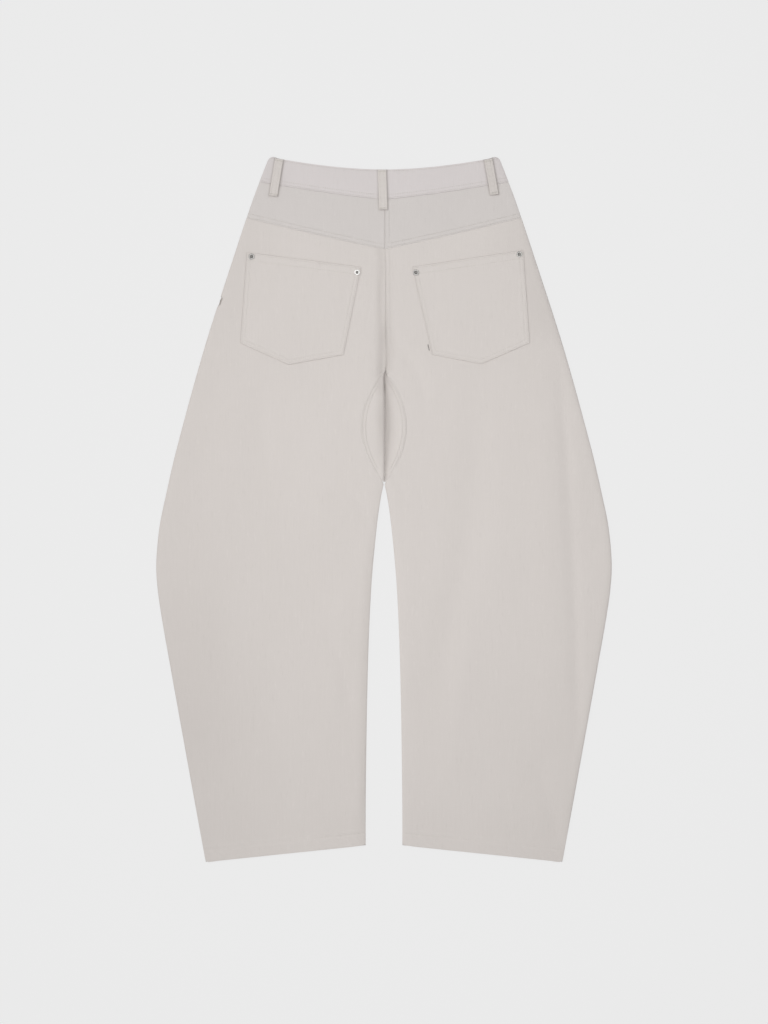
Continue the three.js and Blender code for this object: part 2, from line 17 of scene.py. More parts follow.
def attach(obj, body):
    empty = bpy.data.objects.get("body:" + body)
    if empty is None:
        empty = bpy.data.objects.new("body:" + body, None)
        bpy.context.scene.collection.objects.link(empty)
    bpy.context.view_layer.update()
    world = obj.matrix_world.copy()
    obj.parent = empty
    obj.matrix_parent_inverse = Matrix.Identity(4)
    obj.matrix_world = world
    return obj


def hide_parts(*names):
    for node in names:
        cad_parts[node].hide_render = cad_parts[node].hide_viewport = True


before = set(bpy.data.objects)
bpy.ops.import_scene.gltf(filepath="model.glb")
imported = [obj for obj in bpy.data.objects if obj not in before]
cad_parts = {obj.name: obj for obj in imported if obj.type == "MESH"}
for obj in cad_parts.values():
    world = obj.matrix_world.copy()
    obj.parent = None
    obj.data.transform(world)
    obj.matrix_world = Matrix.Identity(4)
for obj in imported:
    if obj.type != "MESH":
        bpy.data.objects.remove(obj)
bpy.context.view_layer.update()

# %% [markdown]
# ## Sizes
# Blender works in metres, but a pattern cutter thinks in millimetres. All sizes here are millimetres, and
# one constant turns them into metres when a vertex is placed. The values are those of the solids: +X is
# the wearer's right side, +Y points to the waist and +Z is up from the table.

# %% Cloth, seams and heights
MM = 0.001
CLOTH = 1.5
BAND = 1.8
SEAM_GAP = 0.3
HALF_GAP = 0.05
HEM_DEPTH = 20
HEM_EXTRA = 0.3

SEAM_LEVEL = 1.8
BAND_LEVEL = 2.5
LOFT = 2.3
EDGE_ROUND = 17
SIDE_ROUND = 10
WAIST_LOFT = 0.35

CROTCH_Y = 206
LEGS_PART_Y = 41
WAIST_HALF = 184.5
HEM_INNER = (27.4, -503.3)
HEM_OUTER = (267.2, -528.2)
TOP_Y = 528
CORNER = 4.5

GUSSET_HALF = 34
GUSSET_FULLNESS = 0.8
FRONT_DROP = 22
MOUTH_WAIST_X = 108
MOUTH_SIDE_Y = 318
BAND_END_X = 16
INSET_DEPTH = 1.2
print("crotch to waist:", TOP_Y - CROTCH_Y, "mm; crotch to hem:", CROTCH_Y - HEM_OUTER[1], "mm")


# %% [markdown]
# ## The outline of the pattern
# The side seam of a barrel leg is one long curve: out over the hip to its widest point at the knee, then
# almost straight in to the hem. A short table of heights and half widths with a smooth curve through it
# holds that shape, and is easier to read and to change than a traced outline. The three seams across the
# back are powers of the distance from the centre.

# %% Curves of the pattern
SIDE_SEAM = (  # y, half width
    (-528, 267.2), (-433, 284.6), (-208, 325.1), (-154, 334.4), (-118, 339.3), (-82, 341.3), (-28, 336.7),
    (17, 327.8), (89, 311.2), (242, 269.1), (386, 222.8), (467, 195.6), (528, 172.0),
)
CENTRE_DRIFT = (  # y, how far the centre back seam wanders to the right
    (41, 0.3), (60, 1.0), (119, 1.5), (164, 1.5), (190, 1.0), (212, 2.2), (239, 3.3), (277, 3.0), (300, 2.5),
    (371, 2.3), (386, 0.9), (460, 0.7),
)
DRIFT_REACH = (4, 34)
INNER_LEG = (  # y, half width of the space between the legs
    (-528, 27.4), (-433, 27.4), (-244, 24.4), (-118, 19.3), (-28, 11.3), (17, 5.2), (41, HALF_GAP),
)


def mix(a, b, t):
    return a + (b - a) * t


def clamp(x, low=0.0, high=1.0):
    return max(low, min(high, x))


def smooth(x, start, end):
    t = clamp((x - start) / (end - start))
    return t * t * (3 - 2 * t)


def bell(x, wide):
    return math.exp(-((x / wide) ** 2))


def table_curve(rows):
    """A smooth curve through (y, half width) rows."""
    slopes = []
    for i in range(len(rows)):
        before, after = rows[max(i - 1, 0)], rows[min(i + 1, len(rows) - 1)]
        slopes.append((after[1] - before[1]) / (after[0] - before[0]))

    def curve(y):
        i = 0
        while i < len(rows) - 2 and y > rows[i + 1][0]:
            i += 1
        step = rows[i + 1][0] - rows[i][0]
        t = clamp((y - rows[i][0]) / step)
        rest = 1 - t
        ends = rest * rest * (1 + 2 * t) * rows[i][1] + t * t * (3 - 2 * t) * rows[i + 1][1]
        return ends + t * rest * rest * step * slopes[i] - t * t * rest * step * slopes[i + 1]

    return curve


side_seam = table_curve(SIDE_SEAM)
inner_leg_curve = table_curve(INNER_LEG)
centre_drift = table_curve(CENTRE_DRIFT)


def rising(middle, rise, over, power):
    """A line that rises from the middle by so much over so many millimetres."""
    return lambda x: middle + rise * (abs(x) / over) ** power


waist_edge = rising(509.2, 18.9, 171, 1.81)
waist_seam = rising(465, 25.5, WAIST_HALF, 1.25)
yoke_seam = rising(390.2, 46, 204, 1.08)


def front_drop(x):
    return FRONT_DROP * max(0, 1 - (x / WAIST_HALF) ** 2)


def front_edge(x):
    return waist_edge(x) - front_drop(x)


def front_seam(x):
    return waist_seam(x) - front_drop(x)


def hem_line(x):
    return mix(HEM_INNER[1], HEM_OUTER[1], (abs(x) - HEM_INNER[0]) / (HEM_OUTER[0] - HEM_INNER[0]))


def inner_leg(y):
    return inner_leg_curve(y) if y < LEGS_PART_Y else HALF_GAP


def gusset_half(y):
    s = clamp((CROTCH_Y - y) / (CROTCH_Y - LEGS_PART_Y))
    return GUSSET_HALF * math.sin(math.pi * s) ** GUSSET_FULLNESS


def panel_inner(y):
    return max(inner_leg(y), gusset_half(y) + HALF_GAP)


def drifted(x, y):
    """A sewn seam is never quite straight: cloth near the centre follows its drift."""
    return x + centre_drift(y) * (1 - smooth(abs(x), *DRIFT_REACH))


print("widest at the knee:", 2 * side_seam(-82), "mm; hem:", HEM_OUTER[0] - HEM_INNER[0], "mm flat")

# %% [markdown]
# ## How the cloth lies
# Heavy twill laid on a table stays nearly flat, with long shallow folds that run down the legs. Each fold
# here is one arc: where it starts and ends, how far it bows sideways, how wide it is and how much it
# lifts or sinks. Placing them one by one keeps them as uneven as on the real garment. A cloth simulation
# would take minutes to find folds that aren't the ones in the photo.

# %% Folds of the back layer
FOLDS = (  # x1, y1, x2, y2, bow, wide, lift
    (-13, 372, -9, 200, 0, 13, -0.7),
    (22, 380, 20, 225, 0, 12, 0.5),
    (12, 250, 62, 160, 12, 9, -0.8),
    (30, 262, 78, 150, 14, 10, 0.5),
    (141, 215, 66, -300, 22, 24, -2.4),
    (232, 200, 248, -330, 8, 26, 1.3),
    (264, 200, 290, -360, 6, 10, -1.6),
    (-182, 205, -168, 40, -8, 18, -1.8),
    (-232, 190, -214, -20, -6, 22, 0.9),
    (-100, 190, -110, -60, 12, 34, 1.6),
    (-62, 36, -22, -22, 4, 7, -1.1),
    (14, 44, 34, 16, 2, 6, -0.9),
    (-86, -180, -52, -300, 6, 13, -1.5),
    (-60, -120, -70, -330, -5, 16, 1.0),
    (-238, -60, -214, -420, -10, 32, -2.0),
    (-160, -90, -150, -400, 8, 30, 1.3),
    (120, -120, 96, -430, 8, 22, 1.2),
    (-290, -110, -262, -300, 4, 16, 0.9),
    (226, -380, 262, -500, 4, 14, -1.2),
    (-30, -330, -38, -470, 2, 12, 0.8),
)
CREASE_REACH = 40
CROTCH_CREASES = (  # angle in degrees round the crotch point, long, lift
    (-72, 20, -0.9), (-48, 24, 0.8), (-25, 22, -0.8), (8, 16, 0.6),
    (204, 22, -0.6), (232, 20, 0.6), (252, 16, -0.5),
)


def fold_lift(x, y):
    lift = 0.0
    for x1, y1, x2, y2, bow, wide, height in FOLDS:
        dx, dy = x2 - x1, y2 - y1
        square = dx * dx + dy * dy
        along = ((x - x1) * dx + (y - y1) * dy) / square
        if not -0.12 < along < 1.12:
            continue
        aside = (dx * (y - y1) - dy * (x - x1)) / math.sqrt(square)
        off = aside - bow * 4 * along * (1 - along)
        if abs(off) > 3 * wide:
            continue
        ends = smooth(along, -0.12, 0.2) * (1 - smooth(along, 0.8, 1.12))
        lift += height * ends * bell(off, wide)
    return lift


def crotch_creases(x, y):
    """Small creases that fan out from the crotch point."""
    dx, dy = x, y - CROTCH_Y
    far = math.hypot(dx, dy)
    if far < 1 or far > CREASE_REACH:
        return 0.0
    lift = 0.0
    for degrees, long, height in CROTCH_CREASES:
        turn = math.radians(degrees)
        along = dx * math.cos(turn) + dy * math.sin(turn)
        aside = abs(dy * math.cos(turn) - dx * math.sin(turn))
        if along > 0:
            lift += height * smooth(along, 2, 8) * bell(along - 4, long) * bell(aside, 1.5 + 0.12 * along)
    return lift


CROTCH_HUMP, HUMP_Y, HUMP_WIDE, HUMP_LONG = 2.6, 140, 48, 75
WAIST_FLATTENS = (385, 475)
HEM_FLATTENS = (-515, -430)
BAND_RISES = (430, 482)


def underside(x, y):
    """Height of the back layer's lower face, a little proud where the seams meet at the crotch."""
    half = abs(x)
    to_side = side_seam(y) - half
    to_inner = math.hypot(half, y - CROTCH_Y) if y > CROTCH_Y else half - inner_leg(y)
    near = clamp(min(to_side / SIDE_ROUND, to_inner / EDGE_ROUND))
    rise = math.sqrt(1 - (1 - near) ** 2)
    waist = smooth(y, *WAIST_FLATTENS)
    hem = 1 - smooth(y, *HEM_FLATTENS)
    loft = LOFT * mix(1, WAIST_LOFT, max(waist, hem))
    folds = (fold_lift(x, y) + crotch_creases(x, y)) * rise * (1 - waist)
    level = mix(SEAM_LEVEL, BAND_LEVEL, smooth(y, *BAND_RISES))
    hump = CROTCH_HUMP * bell(x, HUMP_WIDE) * bell(y - HUMP_Y, HUMP_LONG)
    return max(level, level + loft * rise + folds + hump)


print("folds:", len(FOLDS), "height at a hip:", round(underside(120, 300), 2), "mm")

# %% [markdown]
# ## Seams and stitch rows
# A sewn edge isn't flat. The turned-in allowance makes it thicker for about 10 mm, each row of stitches
# pulls a narrow channel into it, and the thread gathers the cloth a little, so the edge is puckered. One
# function gives that relief from the distance to the edge, and every sewn edge uses it.

# %% Relief along a sewn edge
ALLOWANCE = 10
CHANNEL_DEEP, CHANNEL_WIDE = 0.2, 0.9
PUCKER_MAIN, PUCKER_SECOND, PUCKER_SLOW = 0.69, 1.13, 0.057  # radians a millimetre
PUCKER_AT, PUCKER_WIDE = 5, 7
TUCK_REACH, TUCK_DEEP, TUCK_WIDE, TUCK_PUCKER = 18, 0.18, 1.6, 0.09
SEED = {  # so that no two seams pucker alike
    "yoke": 1.7, "centre": 4.1, "gusset": 2.9, "band": 3.3, "waist": 5.2, "pocket": 2.2,
    "mouth": 0.8, "loop": 1.1,
}


def pucker(along, seed):
    """Uneven small waves along a seam, about 9 mm apart."""
    wave = math.sin(along * PUCKER_MAIN + seed) + 0.6 * math.sin(along * PUCKER_SECOND + 2.3 * seed)
    return wave * (0.75 + 0.25 * math.sin(along * PUCKER_SLOW + seed))


def sewn_edge(distance, along, rows, seed, raised=0.12, gather=0.1):
    if distance > 2.2 * ALLOWANCE:
        return 0.0
    height = raised * (1 - smooth(distance, ALLOWANCE - 4, ALLOWANCE + 3))
    for row in rows:
        height -= CHANNEL_DEEP * bell(distance - row, CHANNEL_WIDE)
    height += gather * pucker(along, seed) * bell(distance - PUCKER_AT, PUCKER_WIDE)
    return height


def tucked_edge(distance, along, seed):
    """The lower side of a seam dips under its neighbour and shares its puckers."""
    if distance > TUCK_REACH:
        return 0.0
    dip = -TUCK_DEEP * bell(distance, TUCK_WIDE)
    return dip + TUCK_PUCKER * pucker(along, seed) * bell(distance, PUCKER_WIDE)


print("height of a sewn edge at its first row:", round(sewn_edge(2, 0, (2,), SEED["yoke"]), 2), "mm")

# %% [markdown]
# ## Laying a sheet
# Every cloth piece starts as a flat grid from bmesh. The grid's two directions are read as shares of the
# way across and along the piece, and one function moves each vertex to its place. Shares that crowd at
# both ends give the seams the fine faces they need and keep the open cloth light. A Solidify modifier
# then gives the wall its thickness on the hidden side, and a Bevel rounds the cut edge. Each sheet also
# says how large it is when it is cut flat.

# %% A point between two edges
BODY = "root"
FIRST_GUESS_X = 100
TURNS = 9


def crowded(count, crowding=0.6):
    """Shares from 0 to 1 that lie closer together at both ends."""
    steps = [i / count for i in range(count + 1)]
    return [t - crowding * math.sin(2 * math.pi * t) / (2 * math.pi) for t in steps]


def between(inner, outer, low_line, high_line, u, v):
    """The point at share u from inner to outer and share v from the low line to the high line."""
    y = mix(low_line(FIRST_GUESS_X), high_line(FIRST_GUESS_X), v)
    x = 0.0
    for _ in range(TURNS):
        x = mix(inner(y), outer(y), u)
        y = mix(low_line(x), high_line(x), v)
    return x, y


print("middle of the left yoke:", between(lambda y: 0, side_seam, yoke_seam, waist_seam, 0.5, 0.5))

# %% [markdown]
# Every piece goes through the same few steps at its end: its mesh becomes an object, it is tied to the
# body that it moves with, it hides the solids that it stands for, and it gets its material and smooth
# shading.

# %% From a mesh to a finished piece
def finish_piece(obj, nodes, material):
    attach(obj, BODY)
    if nodes:
        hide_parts(*nodes)
    obj.data.materials.append(material)
    for face in obj.data.polygons:
        face.use_smooth = True


def new_object(name, bm):
    mesh = bpy.data.meshes.new(name)
    bm.to_mesh(mesh)
    bm.free()
    obj = bpy.data.objects.new(name, mesh)
    bpy.context.scene.collection.objects.link(obj)
    return obj


# %% [markdown]
# A sheet's size when it lies flat comes from its rim: the points of the grid's edge, taken in order, give
# its area. The colour of a crease can't come from the lamps alone, so each sheet also stores a number at
# every vertex, its painted shade.

# %% Sheets
def rim_area(points, across, along):
    """Area inside the rim of a grid, in square metres, and its width and length."""
    rim = [points[0, i] for i in range(across)]
    rim += [points[j, across - 1] for j in range(1, along)]
    rim += [points[along - 1, i] for i in range(across - 2, -1, -1)]
    rim += [points[j, 0] for j in range(along - 2, 0, -1)]
    area = sum(a[0] * b[1] - b[0] * a[1] for a, b in zip(rim, rim[1:] + rim[:1])) / 2
    xs, ys = [p[0] for p in rim], [p[1] for p in rim]
    return abs(area) * MM * MM, (max(xs) - min(xs)) * MM, (max(ys) - min(ys)) * MM


def thicken(obj, thick):
    """Give the cloth its wall, on the side that is hidden."""
    wall = obj.modifiers.new("cloth thickness", "SOLIDIFY")
    wall.thickness = thick * MM
    wall.offset = -1


def round_edge(obj, radius):
    edge = obj.modifiers.new("rounded edge", "BEVEL")
    edge.width = radius * MM
    edge.segments = 2
    edge.limit_method = "ANGLE"
    edge.angle_limit = math.radians(50)
    edge.use_clamp_overlap = True


def set_shade(obj, shades):
    """Store each vertex's painted shade, how deep in a crease it lies, for the cloth's colour."""
    layer = obj.data.attributes.new("shade", "FLOAT", "POINT")
    layer.data.foreach_set("value", shades)


def lay_sheet(
    name, nodes, us, vs, place, thick=CLOTH, rounding=0.4, face_up=True, shade=None, finish=None,
    cut=None,
):
    """place(u, v) gives x, y and the height of the face that shows; shade(x, y) its painted shade, how deep
    in a crease it lies.

    A slanted strip says its own cut, its width and length in millimetres.
    """
    bm = bmesh.new()
    bmesh.ops.create_grid(bm, x_segments=len(us) - 1, y_segments=len(vs) - 1, size=0.5)
    points, shades = {}, []
    for vert in bm.verts:
        i = round((vert.co.x + 0.5) * (len(us) - 1))
        j = round((vert.co.y + 0.5) * (len(vs) - 1))
        x, y, z = place(us[i], vs[j])
        points[j, i] = (x, y)
        shades.append(shade(x, y) if shade else 0.0)
        vert.co = Vector((x, y, z)) * MM
    bm.normal_update()
    up = sum(face.normal.z * face.calc_area() for face in bm.faces) > 0
    if up != face_up:
        bmesh.ops.reverse_faces(bm, faces=bm.faces)
    obj = new_object(name, bm)
    set_shade(obj, shades)
    thicken(obj, thick)
    round_edge(obj, rounding)
    finish_piece(obj, nodes, finish or TWILL)
    area, wide, long = rim_area(points, len(us), len(vs))
    if cut:
        wide, long = cut[0] * MM, cut[1] * MM
    min(area, wide * long)
    print(name, "cut", round(wide, 3), "x", round(long, 3), "m, area", round(area, 4), "m2")


# %% [markdown]
# ## A small language for shaders
# Node trees are hard to read as lists of links. One class wraps a socket and gives it the signs of
# arithmetic, so that a pattern reads as a formula. Every other node comes from one method, which sets the
# node's own settings first and its sockets after.

# %% Socket arithmetic
class Sock:
    """A node's output. A formula with it adds Math nodes."""

    def __init__(self, tree, socket):
        self.tree = tree
        self.socket = socket

    def math(self, operation, *values):
        return make_node(self.tree, "ShaderNodeMath", {"operation": operation}, dict(enumerate(values)))

    def __add__(self, other):
        return self.math("ADD", self, other)

    def __radd__(self, other):
        return self.math("ADD", other, self)

    def __sub__(self, other):
        return self.math("SUBTRACT", self, other)

    def __rsub__(self, other):
        return self.math("SUBTRACT", other, self)

    def __mul__(self, other):
        return self.math("MULTIPLY", self, other)

    def __rmul__(self, other):
        return self.math("MULTIPLY", other, self)

    def sin(self):
        return self.math("SINE", self)

    def clamped(self):
        return self.math("MINIMUM", self.math("MAXIMUM", self, 0.0), 1.0)


def set_sockets(tree, node, sockets):
    """Link each named or numbered socket to another node's output, or give it a value."""
    for key, value in sockets.items():
        if isinstance(value, Sock):
            tree.links.new(value.socket, node.inputs[key])
        else:
            node.inputs[key].default_value = value


def make_node(tree, kind, settings=None, sockets=None, out=0):
    """A node of any type: its own settings first, its sockets after."""
    made = tree.nodes.new(kind)
    for key, value in (settings or {}).items():
        setattr(made, key, value)
    set_sockets(tree, made, sockets or {})
    return Sock(tree, made.outputs[out])


# %% Nodes that every finish uses
def new_material(name):
    material = bpy.data.materials.new(name)
    material.use_nodes = True
    tree = material.node_tree
    return material, tree, tree.nodes["Principled BSDF"]


def object_place(tree):
    """Object coordinates, in metres."""
    return make_node(tree, "ShaderNodeTexCoord", out="Object")


def xyz(tree, place):
    parts = make_node(tree, "ShaderNodeSeparateXYZ", sockets={0: place}).socket.node
    return [Sock(tree, output) for output in parts.outputs]


def stretched_noise(tree, place, scale, detail=2.0, roughness=0.5):
    """Noise with its own scale along X, Y and Z, in cells per metre."""
    scaled = make_node(tree, "ShaderNodeVectorMath", {"operation": "MULTIPLY"}, {0: place, 1: scale})
    return make_node(tree, "ShaderNodeTexNoise", sockets={
        "Vector": scaled, "Scale": 1.0, "Detail": detail, "Roughness": roughness,
    })


def colour_mix(tree, share, first, second):
    first, second = [colour if isinstance(colour, Sock) else (*colour, 1) for colour in (first, second)]
    return make_node(tree, "ShaderNodeMix", {"data_type": "RGBA"}, {0: share, 6: first, 7: second}, out=2)


def bumped(tree, height, distance, strength):
    return make_node(tree, "ShaderNodeBump", sockets={
        "Strength": strength, "Distance": distance, "Height": height,
    })


# %% [markdown]
# ## The twill
# Ecru cotton twill has fine diagonal ribs less than a millimetre apart, and its yarns are uneven: thick
# places run as pale streaks along the warp and, fewer, across it. The ribs are a bump and a faint tone,
# the streaks are long noise, and a broad soft noise keeps a large panel from looking printed. Sheen gives
# the dull glow of brushed cotton at grazing angles. In a crease the colour is painted darker and warmer,
# as painted shade for the light that the lamps don't reach there and that bounces between the cloth's
# faces: each sheet stores that depth in an attribute, which the colour reads.

# %% Twill
TWILL_DARK = (0.592, 0.553, 0.526)
TWILL_LIGHT = (0.670, 0.628, 0.602)
# Painted shade: the dark warm colour that creases and the cloth beside seams and loops are mixed towards.
TWILL_PAINTED_SHADE = (0.235, 0.205, 0.185)
RIB_PITCH = 0.00095
RIB_ANGLE = math.radians(63)


def twill_material(name, turn=0.0, tint=(1.0, 1.0, 1.0)):
    material, tree, shader = new_material(name)
    place = object_place(tree)
    x, y, _ = xyz(tree, place)
    lean = RIB_ANGLE + turn
    wobble = stretched_noise(tree, place, (60, 60, 60), 1.0)
    across = x * math.sin(lean) - y * math.cos(lean) + wobble * 0.0006
    rib = (across * (2 * math.pi / RIB_PITCH)).sin() * 0.5 + 0.5
    warp = stretched_noise(tree, place, (560, 24, 60), 3.0, 0.6)
    weft = stretched_noise(tree, place, (34, 760, 60), 3.0, 0.6)
    cloud = stretched_noise(tree, place, (9, 6, 9), 2.0)
    fibre = stretched_noise(tree, place, (1700, 1700, 1700), 2.0)
    slub = stretched_noise(tree, place, (330, 62, 60), 1.0)
    marks = ((slub - 0.655) * 9.0).clamped() - ((0.345 - slub) * 9.0).clamped()
    streak = (warp - 0.5) * 1.1 + (weft - 0.5) * 0.4
    tone = 0.52 + streak * 0.3 + (cloud - 0.5) * 0.3 - marks * 0.2
    share = (tone + (rib - 0.5) * 0.14 + (fibre - 0.5) * 0.06).clamped()
    dark, light = [[c * t for c, t in zip(colour, tint)] for colour in (TWILL_DARK, TWILL_LIGHT)]
    # Painted shade: each vertex's stored depth mixes the cloth's colour towards the shaded one.
    painted_shade = make_node(tree, "ShaderNodeAttribute", {"attribute_name": "shade"}, out="Fac")
    cloth = colour_mix(tree, share, dark, light)
    height = rib * 0.45 + streak * 0.55 + fibre * 0.25
    set_sockets(tree, shader, {
        "Base Color": colour_mix(tree, painted_shade, cloth, TWILL_PAINTED_SHADE),
        "Roughness": 0.86 + (fibre - 0.5) * 0.12,
        "Normal": bumped(tree, height, 0.00019, 0.9),
        "Sheen Weight": 0.18,
        "Sheen Roughness": 0.45,
        "Specular IOR Level": 0.25,
    })
    return material


TWILL = twill_material("ecru twill")
TWILL_BAND = twill_material("ecru twill across", math.radians(90), (1.0, 1.003, 1.04))
TWILL_YOKE = twill_material("ecru twill, yoke", tint=(0.955, 0.963, 0.976))
print("twill ribs", RIB_PITCH * 1000, "mm apart")

# %% [markdown]
# ## Thread, metal and zip tape
# The thread is tone on tone, a little warmer and shinier than the cloth. The rivets and the button are
# nickel plated: grey, satin, with fine scratches. The zip tape is a plain woven band.

# %% Other finishes
def thread_material(name, dark, light):
    material, tree, shader = new_material(name)
    ply = stretched_noise(tree, object_place(tree), (2400, 2400, 2400), 1.0)
    set_sockets(tree, shader, {
        "Base Color": colour_mix(tree, ply, dark, light),
        "Roughness": 0.55 + ply * 0.2,
        "Normal": bumped(tree, ply, 0.0001, 0.6),
    })
    return material


def nickel_material(name, dull, clean, polish):
    material, tree, shader = new_material(name)
    place = object_place(tree)
    scratch = stretched_noise(tree, place, (900, 4200, 900), 2.0)
    worn = stretched_noise(tree, place, (420, 420, 420), 2.0)
    set_sockets(tree, shader, {
        "Base Color": colour_mix(tree, worn, dull, clean),
        "Metallic": 1.0,
        "Roughness": polish + scratch * 0.2,
        "Normal": bumped(tree, scratch, 0.00003, 0.5),
    })
    return material


TAPE_PICK, TAPE_END = 0.0012, 0.0009


def tape_material():
    material, tree, shader = new_material("zip tape")
    x, y, _ = xyz(tree, object_place(tree))
    weave = (x * (2 * math.pi / TAPE_PICK)).sin() * (y * (2 * math.pi / TAPE_END)).sin()
    share = (0.5 + weave * 0.3).clamped()
    set_sockets(tree, shader, {
        "Base Color": colour_mix(tree, share, (0.50, 0.47, 0.43), (0.60, 0.57, 0.53)),
        "Roughness": 0.8,
        "Normal": bumped(tree, weave, 0.0001, 0.7),
    })
    return material


THREAD = thread_material("ecru thread", (0.50, 0.47, 0.43), (0.68, 0.65, 0.61))
GREY_THREAD = thread_material("grey thread", (0.20, 0.19, 0.18), (0.32, 0.30, 0.28))
NICKEL = nickel_material("satin nickel", (0.38, 0.37, 0.36), (0.52, 0.51, 0.49), 0.4)
# A lighter copy of the nickel, for one rivet's ring: a painted highlight.
HIGHLIT_NICKEL = nickel_material("nickel with painted highlight", (0.70, 0.69, 0.67), (0.80, 0.79, 0.77), 0.42)
# Dark tarnish in the rivets' eyes; on the side rivets this finish is painted shade.
TARNISH_AND_PAINTED_SHADE = nickel_material("tarnish and painted shade", (0.15, 0.145, 0.14), (0.24, 0.23, 0.22), 0.45)
ZIP_TAPE = tape_material()
print("finishes:", len(bpy.data.materials))

# %% [markdown]
# ## Back legs
# Each back leg is one large panel. It runs from the V of the yoke to the hem, with the centre back seam,
# the gusset seam and the inner leg seam as its inner side. The hem is turned up, so its last 20 mm are
# thicker, with the slanted ripples that a turned hem always gets.

# %% Relief of the back legs
CENTRE_ROWS = (1.9, 7.6)
EDGE_ROWS = (1.9, 7.4)
HEM_ROW = HEM_DEPTH - 1
HEM_FADE = 14
ROPING, ROPING_TURN, ROPING_LEAN, ROPING_AT, ROPING_WIDE = 0.22, 0.42, 0.8, 11, 9
SEAT_REACH = 40
SEAT_SINK = {  # side: deep, fades from y to y, where, wide
    -1: (3.2, 250, 310, -1, 9), 1: (2.6, 225, 262, 0, 6),
}
SEAT_CREASE = {  # side: deep, where, wide, starts from y to y, ends from y to y
    -1: (0.9, -7.5, 3.2, 280, 300, 330, 352), 1: (0.7, 7.5, 3.0, 236, 256, 296, 318),
}


def hem_relief(x, y):
    above = y - hem_line(x)
    if above > HEM_DEPTH + HEM_FADE:
        return 0.0
    band = HEM_EXTRA * (1 - smooth(above, HEM_DEPTH + 0.5, HEM_DEPTH + 4))
    row = -0.55 * bell(above - HEM_ROW, 1.3)
    wave = math.sin((x + ROPING_LEAN * above) * ROPING_TURN + math.sin(x * 0.05))
    return band + row + ROPING * wave * bell(above - ROPING_AT, ROPING_WIDE)


def seat_relief(x, y):
    """Towards the crotch both sides sink to the centre seam, and a crease runs beside it on each."""
    if abs(x) > SEAT_REACH:
        return 0.0
    side = -1 if x < 0 else 1
    deep, fade_low, fade_high, middle, wide = SEAT_SINK[side]
    sink = -deep * (1 - smooth(y, fade_low, fade_high)) * bell(x - middle, wide)
    deep, middle, wide, *ends = SEAT_CREASE[side]
    return sink - deep * bell(x - middle, wide) * smooth(y, *ends[:2]) * (1 - smooth(y, *ends[2:]))


def leg_relief(x, y):
    half = abs(x)
    height = hem_relief(x, y) + 0.8 * tucked_edge(yoke_seam(x) - y, x, SEED["yoke"])
    if y > CROTCH_Y:
        height += seat_relief(x, y)
        if x > 0:
            height += sewn_edge(half, y, CENTRE_ROWS, SEED["centre"])
        else:
            height += tucked_edge(half, y, SEED["centre"])
    elif y > LEGS_PART_Y:
        height += (0.4 if x < 0 else 0.1) * tucked_edge(half - gusset_half(y), y, SEED["gusset"])
    return height


print("the seat sinks", round(seat_relief(-2, 230), 2), "mm beside the seam, near the crotch")

# %% [markdown]
# The photo's light is so soft that most of what tells a crease from flat cloth is colour, not relief. So
# short tables give the painted shade at each height: in the trough that runs down the centre seam, and
# on the outer part of each leg, which is painted darker towards its side.

# %% Shade of the back legs
CENTRE_SHADE = (  # y, trough left of the seam, at the seam, right of it
    (60, 0.0, 0.0, 0.0), (104, 0.06, 0.0, 0.0), (134, 0.11, 0.0, 0.0), (155, 0.09, 0.0, 0.0),
    (168, 0.07, 0.0, 0.0), (182, 0.20, 0.0, 0.0), (200, 0.23, 0.0, 0.0), (207, 0.20, 0.42, 0.06),
    (216, 0.19, 0.38, 0.09), (240, 0.17, 0.22, 0.12), (284, 0.16, 0.14, 0.08), (314, 0.16, 0.08, 0.07),
    (344, 0.15, 0.06, 0.05), (376, 0.12, 0.04, 0.02), (391, 0.12, 0.04, 0.0),
)
OUTER_FROM, OUTER_WIDE = 140, 150
OUTER_SHADE = (  # y, left leg, right leg
    (-528, 0.06, 0.03), (-436, 0.07, 0.02), (-316, 0.10, 0.01), (-196, 0.06, 0.0), (-76, 0.035, 0.0),
    (44, 0.025, 0.0), (150, 0.01, 0.0), (240, 0.03, 0.04), (290, 0.07, 0.14), (360, 0.08, 0.14),
    (440, 0.06, 0.06),
)


def table_row(rows, y):
    """The other columns of a table at height y, mixed between its rows."""
    y = clamp(y, rows[0][0], rows[-1][0])
    low, high = next(pair for pair in zip(rows, rows[1:]) if y <= pair[1][0])
    share = (y - low[0]) / (high[0] - low[0])
    return [mix(a, b, share) for a, b in zip(low[1:], high[1:])]


def centre_shade(x, y):
    """Painted shade of the trough along the centre seam; to its left it runs on beside the gusset's fold and
    fades there.
    """
    off = x - centre_drift(y)
    left, seam, right = table_row(CENTRE_SHADE, y)
    if off < 0:
        return left * bell(off + 7.5, 6.5)
    return seam * bell(off - 1.2, 1.8) + right * bell(off - 7, 6)


def leg_shade(x, y):
    """Painted shade: the trough along the centre seam, the turn down to the inner leg, and each leg's outer
    part.
    """
    left, right = table_row(OUTER_SHADE, y)
    depth = (left if x < 0 else right) * clamp((abs(x) - OUTER_FROM) / OUTER_WIDE)
    if y > LEGS_PART_Y:
        return depth + centre_shade(x, y)
    if x < 0:
        depth += 0.08 * smooth(-y, -20, 120) * bell(abs(x) - inner_leg(y), 11)
    return depth


print("shade in the trough at the crotch:", table_row(CENTRE_SHADE, CROTCH_Y)[0])

# %% [markdown]
# At the lower end of the front pocket's mouth a rivet holds the side seam. On the left leg the seam is
# drawn in there, so the rivet and the front cloth show as a dark sliver at the outline: both carry
# painted shade there. The back layer has a few close rows of faces for that notch.

